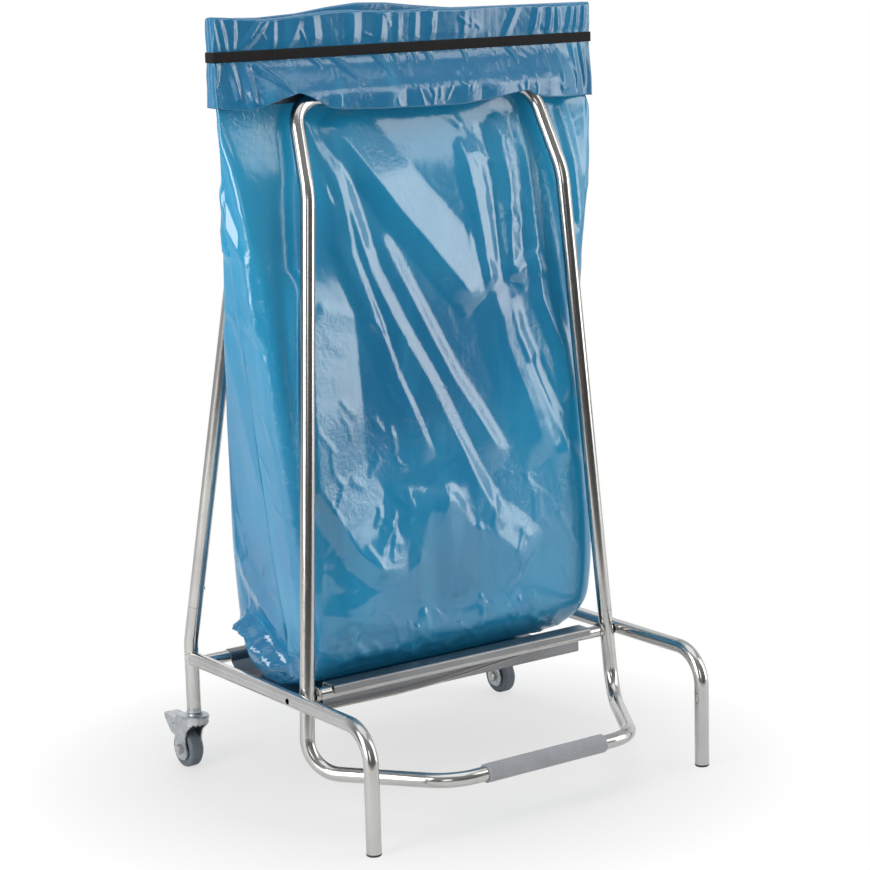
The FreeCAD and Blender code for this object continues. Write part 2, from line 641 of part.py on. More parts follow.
def bow_wire():
    """Springy wire hung under the front bar, an eye round each spacer bush."""
    eye_radius = BUSH_D / 2 + WIRE_EYE_GAP + WIRE_D / 2
    eye_x = ARM_INNER_END - BUSH_LENGTH / 2
    centre_y = REAR_LEG_Y - PIVOT_FORWARD
    wire_y = centre_y + eye_radius
    run = [FreeCAD.Vector(x, wire_y, z) for x, z in WIRE_POINTS]
    left_low = run[0] - X_AXIS * (eye_x + run[0].x)
    slope = (run[-1] - run[-2]).normalize()
    right_low = run[-1] + slope * ((eye_x - run[-1].x) / slope.x)
    front_y = centre_y - eye_radius
    eye_top = RAIL_HEIGHT + eye_radius
    left_eye = [FreeCAD.Vector(-eye_x, front_y, RAIL_HEIGHT), FreeCAD.Vector(-eye_x, front_y, eye_top),
                FreeCAD.Vector(-eye_x, wire_y, eye_top)]
    points = left_eye + [left_low] + run[1:-1] + [right_low] + mirrored(left_eye)
    bend = eye_radius - BEND_SLACK
    radii = [bend, bend, WIRE_CORNER_RADIUS] + [WIRE_BOW_RADIUS] * (len(run) - 2)
    radii += [WIRE_CORNER_RADIUS, bend, bend]
    return rod(points, radii, WIRE_D)


# Pedal frame

def arm_point(side, height):
    """Point on the straight run of a front arm."""
    t = (height - RAIL_HEIGHT) / (KINK_HEIGHT - RAIL_HEIGHT)
    x = PIVOT_HALF_WIDTH + t * (KINK_HALF_WIDTH - PIVOT_HALF_WIDTH)
    return at(side * x, PIVOT_FORWARD + t * (KINK_FORWARD - PIVOT_FORWARD), height)


def arm_direction(side):
    return (arm_point(side, KINK_HEIGHT) - arm_point(side, RAIL_HEIGHT)).normalize()


def pedal_loop():
    """Lower pedal frame in one bent tube, drilled for the pivot bolts."""
    left = [
        arm_point(-1, FRONT_SEAM_HEIGHT),
        at(-LOOP_KNEE_HALF_WIDTH, LOOP_KNEE_FORWARD, LOOP_KNEE_HEIGHT),
        at(-PEDAL_HALF_WIDTH, WHEELBASE, PEDAL_HEIGHT),
    ]
    path = left + mirrored(left)
    radii = [LOOP_KNEE_RADIUS, PEDAL_BEND_RADIUS, PEDAL_BEND_RADIUS, LOOP_KNEE_RADIUS]
    loop = tube(path, radii, TUBE_OD, TUBE_WALL)
    bore = cylinder(PIVOT_BOLT_D + 2 * RUNNING_CLEARANCE, at(-HALF_TRACK, PIVOT_FORWARD, RAIL_HEIGHT),
                    X_AXIS, 2 * HALF_TRACK)
    return loop.cut(bore)


def front_hoop():
    """Upper pedal frame: two kinked arms and the top bar in one bent tube."""
    left = [
        arm_point(-1, FRONT_SEAM_HEIGHT + SEAM_GAP),
        arm_point(-1, KINK_HEIGHT),
        at(-FRONT_HOOP_HALF_WIDTH, FRONT_HOOP_FORWARD, HOOP_TOP_HEIGHT),
    ]
    path = left + mirrored(left)
    radii = [KINK_RADIUS, HOOP_CORNER_RADIUS, HOOP_CORNER_RADIUS, KINK_RADIUS]
    return tube(path, radii, TUBE_OD, TUBE_WALL)


def front_joiners():
    """Inner sleeves across the front seams, drilled for the pivot bolts."""
    bore = cylinder(PIVOT_BOLT_D + 2 * RUNNING_CLEARANCE, at(-HALF_TRACK, PIVOT_FORWARD, RAIL_HEIGHT),
                    X_AXIS, 2 * HALF_TRACK)
    return [joiner(arm_point(side, FRONT_SEAM_HEIGHT), arm_direction(side)).cut(bore)
            for side in SIDES.values()]


def pedal_sleeve():
    """Plastic foot sleeve with fine lengthwise grooves and a plain rim."""
    y = REAR_LEG_Y - WHEELBASE
    steps = SLEEVE_GROOVE_COUNT * 4
    corners = []
    for i in range(steps):
        angle = 2 * math.pi * i / steps
        radius = SLEEVE_OD / 2 - (SLEEVE_GROOVE_DEPTH if i % 4 == 0 else 0)
        corners.append(FreeCAD.Vector(-SLEEVE_HALF_LENGTH, y + radius * math.cos(angle),
                                      PEDAL_HEIGHT + radius * math.sin(angle)))
    fluted = Part.Face(Part.makePolygon(corners + corners[:1])).extrude(X_AXIS * (2 * SLEEVE_HALF_LENGTH))
    rims = []
    for side in SIDES.values():
        start = FreeCAD.Vector(side * SLEEVE_HALF_LENGTH, y, PEDAL_HEIGHT)
        rims.append(cylinder(SLEEVE_OD, start, X_AXIS * -side, SLEEVE_RIM_LENGTH))
    bore = cylinder(TUBE_OD + 2 * FIT_CLEARANCE, FreeCAD.Vector(-SLEEVE_HALF_LENGTH, y, PEDAL_HEIGHT),
                    X_AXIS, 2 * SLEEVE_HALF_LENGTH)
    return fluted.fuse(rims).cut(bore)


# Jaws

def jaw(bar_forward, facing):
    """Flat strip standing on a hoop's top bar, its foot curled under the bar."""
    half = JAW_THICKNESS / 2
    bar_y = REAR_LEG_Y - bar_forward
    reach = TUBE_OD / 2 + half
    strip_y = bar_y - facing * reach
    points = [(strip_y, JAW_TOP_HEIGHT), (strip_y, HOOP_TOP_HEIGHT - reach),
              (bar_y, HOOP_TOP_HEIGHT - reach)]
    face = bent_sheet(points, [reach - BEND_SLACK], JAW_THICKNESS)
    sheet = face.extrude(X_AXIS * (2 * JAW_HALF_LENGTH))
    sheet.translate(X_AXIS * -JAW_HALF_LENGTH)
    corners = [FreeCAD.Vector(x, bar_y - 2 * TUBE_OD, z) for x, z in (
        (-JAW_HALF_LENGTH, JAW_FOOT_HEIGHT), (-JAW_CURL_HALF_LENGTH, JAW_FOOT_HEIGHT),
        (-JAW_CURL_HALF_LENGTH, HOOP_TOP_HEIGHT - TUBE_OD), (JAW_CURL_HALF_LENGTH, HOOP_TOP_HEIGHT - TUBE_OD),
        (JAW_CURL_HALF_LENGTH, JAW_FOOT_HEIGHT), (JAW_HALF_LENGTH, JAW_FOOT_HEIGHT),
        (JAW_HALF_LENGTH, JAW_TOP_HEIGHT), (-JAW_HALF_LENGTH, JAW_TOP_HEIGHT))]
    radii = [JAW_CORNER_RADIUS] + [JAW_NOTCH_RADIUS] * 4 + [JAW_CORNER_RADIUS] * 3
    start = (corners[-1] + corners[0]) * 0.5
    edges = rounded_edges([start] + corners + [start], radii)
    window = Part.Face(Part.Wire(edges)).extrude(Y_AXIS * (4 * TUBE_OD))
    return sheet.common(window)


# Bag and band

def bag_section(height, left, right, front, back, radius):
    """Rounded rectangle round the bag at one height."""
    corners = [at(-left, front, height), at(right, front, height),
               at(right, back, height), at(-left, back, height)]
    start = (corners[-1] + corners[0]) * 0.5
    return Part.Wire(rounded_edges([start] + corners + [start], [radius] * 4))


def bag_sections():
    """Sections of the bag from its floor up to the top of the jaws."""
    half = MOUTH_HALF_LENGTH
    mouth = [(JAW_TOP_HEIGHT - drop, half, half, *reach) for drop, *reach in MOUTH_SECTIONS]
    return list(BAG_SECTIONS) + mouth


def reach_at(height, facing):
    """Forward reach of the bag's front (facing 1) or back (facing -1) at one height."""
    reaches = [(z, front if facing > 0 else back) for z, _, _, front, back, _ in bag_sections()]
    for (low_z, low), (high_z, high) in zip(reaches, reaches[1:]):
        if height <= high_z:
            return low + (height - low_z) / (high_z - low_z) * (high - low)
    return reaches[-1][1]


def fold_stations(line):
    """Points of a fold's line, with one more at each section that it crosses."""
    heights = [section[0] for section in bag_sections()]
    stations = []
    for (x, z), (next_x, next_z) in zip(line, line[1:]):
        stations.append((x, z))
        for height in sorted((h for h in heights if next_z < h < z), reverse=True):
            share = (z - height) / (z - next_z)
            stations.append((x + share * (next_x - x), height))
    return stations + [line[-1]]


def bag_fold(line, rise, upper, lower, facing):
    """Crest of film along a line, its foot sunk in the wall."""
    stations = fold_stations(line)

    def on_bag(x, z, out):
        return at(x, reach_at(z, facing) + facing * out, z)

    ends = [on_bag(x, z, -FOLD_SINK) for x, z in (stations[0], stations[-1])]
    rows = []
    for before, (x, z), after in zip(stations, stations[1:], stations[2:]):
        dx, dz = after[0] - before[0], after[1] - before[1]
        side_x, side_z = -dz / math.hypot(dx, dz), dx / math.hypot(dx, dz)
        rows.append([on_bag(x + side_x * upper, z + side_z * upper, -FOLD_SINK), on_bag(x, z, rise),
                     on_bag(x - side_x * lower, z - side_z * lower, -FOLD_SINK)])
    triangles = []
    for j, k in ((0, 1), (1, 2), (2, 0)):
        triangles += [(ends[0], rows[0][j], rows[0][k]), (ends[1], rows[-1][k], rows[-1][j])]
        for a, b in zip(rows, rows[1:]):
            triangles += [(a[j], b[j], a[k]), (a[k], b[j], b[k])]
    faces = [Part.Face(Part.makePolygon([a, b, c, a])) for a, b, c in triangles]
    fold = Part.makeSolid(Part.makeShell(faces))
    return fold if fold.Volume > 0 else fold.reversed()


def bag_body():
    """Hanging part of the bag, a thin wall open between the jaws."""
    outer, inner = [], []
    for i, (height, left, right, front, back, radius) in enumerate(bag_sections()):
        outer.append(bag_section(height, left, right, front, back, radius))
        if i == 0:
            height += FILM_WALL
        inner.append(bag_section(height, left - FILM_WALL, right - FILM_WALL, front - FILM_WALL,
                                 back + FILM_WALL, max(radius - FILM_WALL, FILM_INNER_RADIUS)))
    folds = [bag_fold(*fold, 1) for fold in FRONT_FOLDS]
    folds += [bag_fold(*fold, -1) for fold in REAR_FOLDS]
    return Part.makeLoft(outer, True, True).fuse(folds).cut(Part.makeLoft(inner, True, True))


def cuff(facing, bar_forward, mouth_forward, outer_forward):
    """Mouth of the bag turned down over one jaw, with its loose hem."""
    half = FILM_WALL / 2
    mouth_y = REAR_LEG_Y - mouth_forward - facing * half
    outer_y = REAR_LEG_Y - outer_forward
    skirt_y = REAR_LEG_Y - bar_forward + facing * (TUBE_OD / 2 + CUFF_SKIRT_GAP + half)
    fold_z = CUFF_TOP_HEIGHT - half
    points = [(mouth_y, fold_z - CUFF_INNER_DEPTH), (mouth_y, fold_z), (outer_y, fold_z),
              (outer_y, BAND_LOW - CUFF_FLARE_DROP),
              (skirt_y, HOOP_TOP_HEIGHT + TUBE_OD / 2), (skirt_y, CUFF_HEM_HEIGHT)]
    radii = [CUFF_FOLD_RADIUS, CUFF_FOLD_RADIUS, CUFF_FLARE_RADIUS, CUFF_FLARE_RADIUS]
    sheet = bent_sheet(points, radii, FILM_WALL).extrude(X_AXIS * (2 * CUFF_HALF_LENGTH))
    sheet.translate(X_AXIS * -CUFF_HALF_LENGTH)
    return sheet


def bag():
    """Refuse bag of film, its mouth turned down over both jaws."""
    mouth_front, mouth_back = MOUTH_SECTIONS[-1][1:3]
    front = cuff(-1, FRONT_HOOP_FORWARD, mouth_front, FRONT_CUFF_FORWARD)
    rear = cuff(1, REAR_HOOP_LEAN, mouth_back, REAR_CUFF_FORWARD)
    return bag_body().fuse([front, rear])


def elastic_band():
    """Flat elastic band round both turned-down cuffs."""
    def loop(half_length, front, rear, radius):
        corners = [at(-half_length, front, BAND_LOW), at(half_length, front, BAND_LOW),
                   at(half_length, rear, BAND_LOW), at(-half_length, rear, BAND_LOW)]
        start = (corners[-1] + corners[0]) * 0.5
        wire = Part.Wire(rounded_edges([start] + corners + [start], [radius] * 4))
        return Part.Face(wire).extrude(Z_AXIS * (BAND_HIGH - BAND_LOW))
    outside = loop(BAND_HALF_LENGTH, BAND_FRONT_FORWARD, BAND_REAR_FORWARD, BAND_END_RADIUS)
    inside = loop(BAND_HALF_LENGTH - BAND_WALL, BAND_FRONT_FORWARD - BAND_WALL,
                  BAND_REAR_FORWARD + BAND_WALL, BAND_END_RADIUS - BAND_WALL)
    return outside.cut(inside)


# Casters; each function takes the point on the floor under the swivel axis

def caster_stem(foot):
    """Collar under the post, its plug, and the king pin riveted below the crown."""
    collar = TUBE_OD / 2
    pin = KING_PIN_D / 2
    plug = TUBE_OD / 2 - TUBE_WALL - FIT_CLEARANCE
    rivet_top = CROWN_TOP_HEIGHT - FORK_SHEET - KING_RIVET_GAP
    rivet = KING_RIVET_D / 2
    groove = collar - COLLAR_GROOVE_DEPTH
    profile = [
        (0, rivet_top - KING_RIVET_HEIGHT),
        (rivet - KING_RIVET_CHAMFER, rivet_top - KING_RIVET_HEIGHT),
        (rivet, rivet_top - KING_RIVET_HEIGHT / 2),
        (rivet, rivet_top),
        (pin, rivet_top),
        (pin, COLLAR_HEIGHT),
        (collar, COLLAR_HEIGHT),
        (collar, COLLAR_GROOVE_HEIGHT),
        (groove, COLLAR_GROOVE_HEIGHT),
        (groove, COLLAR_GROOVE_HEIGHT + COLLAR_GROOVE_WIDTH),
        (collar, COLLAR_GROOVE_HEIGHT + COLLAR_GROOVE_WIDTH),
        (collar, POST_FOOT_HEIGHT),
        (plug, POST_FOOT_HEIGHT),
        (plug, STEM_TOP_HEIGHT - STEM_CHAMFER),
        (plug - STEM_CHAMFER, STEM_TOP_HEIGHT),
        (0, STEM_TOP_HEIGHT),
    ]
    return revolved(profile, foot, Z_AXIS)


def swivel_head(foot):
    """Stepped dome over the ball race."""
    bore = KING_PIN_D / 2 + RUNNING_CLEARANCE
    profile = [(bore, 0)] + list(HEAD_PROFILE) + [(bore, HEAD_PROFILE[-1][1])]
    return revolved(profile, foot + Z_AXIS * CROWN_TOP_HEIGHT, Z_AXIS)


def rounded_plate(corners, foot, x_from, x_to):
    """Plate with the given side outline: (back, height, radius) per corner."""
    line = [foot + FreeCAD.Vector(x_from, back, height) for back, height, _ in corners]
    sharp = [i for i, corner in enumerate(corners) if corner[2] == 0]
    first = sharp[0]
    order = list(range(first, len(line))) + list(range(first))
    points = [line[i] for i in order] + [line[first]]
    edges = []
    run, radii = [points[0]], []
    for i, point in zip(order[1:] + [first], points[1:]):
        run.append(point)
        if corners[i][2] == 0:
            edges += rounded_edges(run, radii)
            run, radii = [point], []
        else:
            radii.append(corners[i][2])
    return Part.Face(Part.Wire(edges)).extrude(X_AXIS * (x_to - x_from))


def fork(foot):
    """Bent sheet fork: crown, two legs with ears for the brake, notched front lip."""
    half = FORK_SHEET / 2
    leg = FORK_HALF_WIDTH - half
    crown = CROWN_TOP_HEIGHT - half
    points = [(-leg, 0), (-leg, crown), (leg, crown), (leg, 0)]
    bend = bent_sheet(points, [FORK_BEND_RADIUS] * 2, FORK_SHEET)
    channel = bend.extrude(X_AXIS * (4 * CROWN_D))
    channel.translate(X_AXIS * (-2 * CROWN_D))
    channel.rotate(FreeCAD.Vector(), Z_AXIS, 90)
    channel.translate(foot)
    side = rounded_plate(FORK_OUTLINE, foot, -2 * FORK_HALF_WIDTH, 2 * FORK_HALF_WIDTH)
    body = channel.common(side)
    disc = cylinder(CROWN_D, foot + Z_AXIS * (CROWN_TOP_HEIGHT - FORK_SHEET), Z_AXIS, FORK_SHEET)
    lip = ring(CROWN_D, CROWN_D - 2 * LIP_WALL, foot + Z_AXIS * (CROWN_TOP_HEIGHT - LIP_DEPTH),
               Z_AXIS, LIP_DEPTH)
    behind = Part.makeBox(2 * CROWN_D, CROWN_D, 2 * LIP_DEPTH,
                          foot + FreeCAD.Vector(-CROWN_D, -LIP_BACK, CROWN_TOP_HEIGHT - 2 * LIP_DEPTH))
    lip = lip.cut(behind)
    notches = []
    for i in range(LIP_NOTCH_COUNT):
        angle = math.radians(LIP_NOTCH_STEP_DEG * (i - (LIP_NOTCH_COUNT - 1) / 2))
        outward = FreeCAD.Vector(math.sin(angle), -math.cos(angle), 0)
        start = foot + Z_AXIS * (CROWN_TOP_HEIGHT - LIP_DEPTH)
        notches.append(cylinder(LIP_NOTCH_D, start, outward, CROWN_D))
    holes = [
        cylinder(KING_PIN_D + 2 * RUNNING_CLEARANCE, foot + Z_AXIS * (CROWN_TOP_HEIGHT - 2 * FORK_SHEET),
                 Z_AXIS, 3 * FORK_SHEET),
        cylinder(AXLE_D + 2 * FIT_CLEARANCE, axle_point(foot) - X_AXIS * CROWN_D, X_AXIS, 2 * CROWN_D),
        cylinder(BRAKE_PIN_D + 2 * FIT_CLEARANCE, brake_point(foot) - X_AXIS * CROWN_D, X_AXIS, 2 * CROWN_D),
    ]
    return body.fuse([disc, lip.cut(Part.makeCompound(notches))]).cut(Part.makeCompound(holes))


def axle_point(foot):
    return foot + FreeCAD.Vector(0, CASTER_TRAIL, WHEEL_D / 2)


def brake_point(foot):
    return foot + FreeCAD.Vector(0, BRAKE_PIN_BACK, BRAKE_PIN_HEIGHT)


def axle_bolt(foot):
    """Hexagon bolt through the fork and the wheel, head on the left."""
    centre = axle_point(foot)
    head = hex_head(AXLE_HEAD_AF, centre - X_AXIS * FORK_HALF_WIDTH, -X_AXIS, AXLE_HEAD_HEIGHT)
    end = FORK_HALF_WIDTH + AXLE_NUT_HEIGHT + AXLE_END_REACH
    radius = AXLE_D / 2
    length = end + FORK_HALF_WIDTH
    shank = revolved([(0, 0), (radius, 0), (radius, length - AXLE_CHAMFER),
                      (radius - AXLE_CHAMFER, length), (0, length)],
                     centre - X_AXIS * FORK_HALF_WIDTH, X_AXIS)
    return head.fuse(shank)


def axle_nut(foot):
    centre = axle_point(foot)
    nut = hex_head(AXLE_HEAD_AF, centre + X_AXIS * FORK_HALF_WIDTH, X_AXIS, AXLE_NUT_HEIGHT)
    return nut.cut(cylinder(AXLE_D + 2 * FIT_CLEARANCE, centre, X_AXIS, CROWN_D))


def wheel_core(foot):
    """Plastic wheel centre: hub, web and rim."""
    bore = AXLE_D / 2 + RUNNING_CLEARANCE
    rim = WHEEL_CORE_D / 2
    inner_rim = rim - WHEEL_CORE_RIM
    web = WHEEL_CORE_WEB / 2
    side = TYRE_WIDTH / 2 - WHEEL_CORE_INSET
    hub = HUB_D / 2
    step = WHEEL_CORE_STEP
    half = [(bore, HUB_HALF_LENGTH), (hub - step, HUB_HALF_LENGTH), (hub, HUB_HALF_LENGTH - step),
            (hub, web + step), (hub + step, web), (inner_rim - step, web), (inner_rim, web + step),
            (inner_rim, side - step), (inner_rim + step, side), (rim, side)]
    profile = half + [(r, -h) for r, h in reversed(half)]
    return revolved(profile, axle_point(foot), X_AXIS)


def tyre(foot):
    """Grey rubber tyre with rounded shoulders."""
    outer = WHEEL_D / 2
    inner = WHEEL_CORE_D / 2
    half = TYRE_WIDTH / 2
    points = [FreeCAD.Vector(inner, 0, -half), FreeCAD.Vector(outer, 0, -half),
              FreeCAD.Vector(outer, 0, half), FreeCAD.Vector(inner, 0, half)]
    edges = rounded_edges(points, [TYRE_SHOULDER, TYRE_SHOULDER])
    edges.append(Part.LineSegment(points[-1], points[0]).toShape())
    solid = Part.Face(Part.Wire(edges)).revolve(FreeCAD.Vector(), Z_AXIS, 360)
    solid.Placement = FreeCAD.Placement(axle_point(foot), FreeCAD.Rotation(Z_AXIS, X_AXIS))
    return solid


def brake_lever(foot):
    """Foot plate with two cheeks on the pin and the bar that grips the tyre."""
    sheet = BRAKE_SHEET
    half = BRAKE_HALF_WIDTH
    corner = BRAKE_PLATE_CORNER
    low = BRAKE_PLATE_HEIGHT - sheet
    corners = [foot + FreeCAD.Vector(x, back, low) for x, back in (
        (-half, BRAKE_PLATE_FRONT), (half, BRAKE_PLATE_FRONT),
        (half, BRAKE_PLATE_REAR), (-half, BRAKE_PLATE_REAR))]
    start = (corners[-1] + corners[0]) * 0.5
    edges = rounded_edges([start] + corners + [start], [corner] * 4)
    plate = Part.Face(Part.Wire(edges)).extrude(Z_AXIS * sheet)
    cheeks = [rounded_plate(BRAKE_CHEEK, foot, side * half, side * (half - sheet))
              for side in SIDES.values()]
    shoe = cylinder(SHOE_D, foot + FreeCAD.Vector(-half + sheet / 2, SHOE_BACK, SHOE_HEIGHT), X_AXIS,
                    2 * half - sheet)
    pin_hole = cylinder(BRAKE_PIN_D + 2 * RUNNING_CLEARANCE, brake_point(foot) - X_AXIS * CROWN_D,
                        X_AXIS, 2 * CROWN_D)
    return plate.fuse(cheeks + [shoe]).cut(pin_hole)


def brake_pin(foot):
    """Pin riveted at both ends outside the fork."""
    centre = brake_point(foot)
    reach = FORK_HALF_WIDTH
    shank = cylinder(BRAKE_PIN_D, centre - X_AXIS * reach, X_AXIS, 2 * reach)
    heads = []
    for side in SIDES.values():
        radius = BRAKE_PIN_HEAD_D / 2
        profile = [(0, 0), (radius, 0), (radius * BRAKE_PIN_TAPER, BRAKE_PIN_HEAD * BRAKE_PIN_TAPER),
                   (0, BRAKE_PIN_HEAD)]
        heads.append(revolved(profile, centre + X_AXIS * (side * reach), X_AXIS * side))
    return shank.fuse(heads)


CASTER_PIECES = {
    "caster_stem": caster_stem,
    "swivel_head": swivel_head,
    "fork": fork,
    "axle_bolt": axle_bolt,
    "axle_nut": axle_nut,
    "wheel_core": wheel_core,
    "tyre": tyre,
    "brake_lever": brake_lever,
    "brake_pin": brake_pin,
}


def stand():
    """All pieces of the stand by name."""
    pieces = {
        "rear_hoop": rear_hoop(),
        "rear_joiners": rear_joiners(),
        "joint_screws": joint_screws(),
        "rear_cross_tube": rear_cross_tube(),
        "frame_welds": frame_welds(),
        "foot_plugs": foot_plugs(),
        "front_cross_bar": front_cross_bar(),
        "bar_plugs": bar_plugs(),
        "spacer_bushes": spacer_bushes(),
        "pivot_washers": pivot_washers(),
        "pivot_bolts": pivot_bolts(),
        "tray": tray(),
        "bow_wire": bow_wire(),
        "pedal_loop": pedal_loop(),
        "front_hoop": front_hoop(),
        "front_joiners": front_joiners(),
        "pedal_sleeve": pedal_sleeve(),
        "front_jaw": jaw(FRONT_HOOP_FORWARD, -1),
        "rear_jaw": jaw(REAR_HOOP_LEAN, 1),
        "bag": bag(),
        "elastic_band": elastic_band(),
    }
    for name, side in SIDES.items():
        pieces[name + "_side_rail"] = side_rail(side)
        pieces[name + "_rear_post"] = rear_post(side)
        foot = at(side * HALF_TRACK, 0, 0)
        for piece, make in CASTER_PIECES.items():
            pieces[name + "_" + piece] = make(foot)
    return pieces


os.makedirs("parts", exist_ok=True)
for name, shape in stand().items():
    if isinstance(shape, list):
        shape = Part.makeCompound(shape)
    shape.exportStep("parts/" + name + ".step")
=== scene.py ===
import math

import bpy
import numpy as np
from mathutils import Matrix, Vector


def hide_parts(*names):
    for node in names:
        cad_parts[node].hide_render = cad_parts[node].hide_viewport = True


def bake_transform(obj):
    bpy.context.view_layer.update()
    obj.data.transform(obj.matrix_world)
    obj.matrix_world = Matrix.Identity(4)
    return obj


# Looks of a pedal-operated bag stand: polished tube, bent sheet, casters, and a
# blue film bag whose mouth is turned down over two jaws and held by an elastic band.
# Metres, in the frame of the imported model: X across, Y from the pedal to the casters.

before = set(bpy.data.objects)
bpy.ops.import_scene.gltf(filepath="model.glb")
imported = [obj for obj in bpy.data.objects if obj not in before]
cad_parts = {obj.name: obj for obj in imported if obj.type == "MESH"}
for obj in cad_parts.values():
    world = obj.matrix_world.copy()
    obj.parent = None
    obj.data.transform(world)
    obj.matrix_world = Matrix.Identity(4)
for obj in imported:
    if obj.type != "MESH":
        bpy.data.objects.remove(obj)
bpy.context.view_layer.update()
bpy.ops.object.select_all(action="DESELECT")

REAR_LEG_Y = 0.1845
TINY = 1e-9


def behind(forward):
    """Y of a place given by its distance in front of the rear legs."""
    return REAR_LEG_Y - forward


# Camera

CAMERA_PLACE = Vector((-1.882733, -2.678806, 1.093482))
CAMERA_PAN = -0.615715
CAMERA_TILT = -0.194783
CAMERA_ROLL = -0.0265904
CAMERA_LENS = 105.53
CAMERA_SENSOR = 36.0
CAMERA_FAR = 60.0


def make_camera():
    """Camera fitted to the photograph's edges and widths."""
    pan, tilt, roll = CAMERA_PAN, CAMERA_TILT, CAMERA_ROLL
    ahead = Vector((-math.sin(pan) * math.cos(tilt), math.cos(pan) * math.cos(tilt), math.sin(tilt)))
    level = Vector((math.cos(pan), math.sin(pan), 0.0))
    top = level.cross(ahead)
    right = level * math.cos(roll) + top * math.sin(roll)
    up = top * math.cos(roll) - level * math.sin(roll)
    data = bpy.data.cameras.new("camera")
    data.lens = CAMERA_LENS
    data.sensor_width = CAMERA_SENSOR
    data.clip_end = CAMERA_FAR
    camera = bpy.data.objects.new("camera", data)
    turned = Matrix((right, up, -ahead)).transposed().to_4x4()
    camera.matrix_world = Matrix.Translation(CAMERA_PLACE) @ turned
    bpy.context.scene.collection.objects.link(camera)
    bpy.context.scene.camera = camera


# Nodes of materials and of the world

class Wire:
    """A socket of a tree of nodes that can be reckoned with as a number."""

    def __init__(self, nodes, socket):
        self.nodes = nodes
        self.socket = socket

    def reckon(self, operation, *values, clamp=False):
        settings = {"operation": operation, "use_clamp": clamp}
        return self.nodes.node("ShaderNodeMath", settings, dict(enumerate(values)))

    def __add__(self, other):
        return self.reckon("ADD", self, other)

    def __radd__(self, other):
        return self.reckon("ADD", other, self)

    def __sub__(self, other):
        return self.reckon("SUBTRACT", self, other)

    def __rsub__(self, other):
        return self.reckon("SUBTRACT", other, self)

    def __mul__(self, other):
        return self.reckon("MULTIPLY", self, other)

    def __rmul__(self, other):
        return self.reckon("MULTIPLY", other, self)

    def wave(self):
        """Sine of the value, brought to the span from 0 to 1."""
        return self.reckon("SINE", self) * 0.5 + 0.5

    def spread(self, low, high):
        """0 below low, 1 above high, and even between them."""
        return self.reckon("MULTIPLY", self - low, 1.0 / (high - low), clamp=True)

    def part(self, name):
        """Another output of the same node."""
        return Wire(self.nodes, self.socket.node.outputs[name])


class Nodes:
    """A tree of nodes that is built one by one."""

    def __init__(self, tree):
        self.tree = tree

    def node(self, kind, settings=None, values=None):
        """A node with its settings, and the links or values of its sockets; gives its first output."""
        made = self.tree.nodes.new(kind)
        for key, value in (settings or {}).items():
            setattr(made, key, value)
        for key, value in (values or {}).items():
            if isinstance(value, Wire):
                self.tree.links.new(value.socket, made.inputs[key])
            elif value is not None:
                made.inputs[key].default_value = value
        return Wire(self, next(output for output in made.outputs if output.enabled))

    def measured(self, operation, vector, other):
        """Number that comes from two vectors."""
        made = self.node("ShaderNodeVectorMath", {"operation": operation}, {0: vector, 1: other})
        return made.part("Value")

    def end(self, wire, output):
        """Leads a wire to the surface of the tree's output node."""
        self.tree.links.new(wire.socket, self.tree.nodes[output].inputs["Surface"])


class Finish(Nodes):
    """A material with one Principled shader, built node by node."""

    def __init__(self, name, metallic=0.0, roughness=0.5, **own):
        self.material = bpy.data.materials.new(name)
        self.material.use_nodes = True
        super().__init__(self.material.node_tree)
        self.shader = self.tree.nodes["Principled BSDF"]
        self.shader.inputs["Metallic"].default_value = metallic
        self.shader.inputs["Roughness"].default_value = roughness
        for socket, value in own.items():
            self.shader.inputs[socket.replace("_", " ")].default_value = value

    def place(self):
        return self.node("ShaderNodeTexCoord").part("Object")

    def stretched(self, scale):
        return self.node("ShaderNodeMapping", None, {"Vector": self.place(), "Scale": scale})

    def noise(self, scale, detail, rough, vector=None, bend=0.0):
        return self.node("ShaderNodeTexNoise", None,
                         {"Vector": vector or self.place(), "Scale": scale, "Detail": detail,
                          "Roughness": rough, "Distortion": bend})

    def mix(self, share, a, b):
        """Colour between a and b."""
        a, b = (value if isinstance(value, Wire) else (*value, 1.0) for value in (a, b))
        return self.node("ShaderNodeMix", {"data_type": "RGBA"}, {0: share, 6: a, 7: b})

    def bump(self, height, strength, distance, under=None):
        return self.node("ShaderNodeBump", None,
                         {"Height": height, "Strength": strength, "Distance": distance, "Normal": under})

    def set(self, **sockets):
        """Leads wires to the shader's sockets."""
        for key, wire in sockets.items():
            self.tree.links.new(wire.socket, self.shader.inputs[key.replace("_", " ")])
        return self


# Metals

STEEL = (0.60, 0.59, 0.575)
STEEL_DULL = (0.46, 0.45, 0.44)
SHEET = (0.32, 0.325, 0.335)
SHEET_DARK = (0.235, 0.24, 0.25)
WIRE_STEEL = (0.42, 0.41, 0.39)
WIRE_DARK = (0.27, 0.265, 0.26)
ZINC = (0.56, 0.57, 0.585)
ZINC_DARK = (0.38, 0.40, 0.43)
AXLE = (0.60, 0.60, 0.59)
AXLE_DARK = (0.40, 0.40, 0.41)


def polished_tube():
    """Ground and polished stainless tube with faint lengthwise streaks."""
    steel = Finish("polished_tube", metallic=1.0)
    cloud = steel.noise(9.0, 4.0, 0.55)
    streaks = steel.noise(1.0, 3.0, 0.6, steel.stretched((420.0, 420.0, 9.0)))
    scuffs = steel.noise(60.0, 5.0, 0.65).spread(0.58, 0.74)
    tint = steel.mix(cloud.spread(0.35, 0.75), STEEL, STEEL_DULL)
    rough = 0.09 + streaks * 0.10 + cloud * 0.08 + scuffs * 0.10
    return steel.set(Base_Color=tint, Roughness=rough, Normal=steel.bump(streaks, 0.04, 0.0004)).material


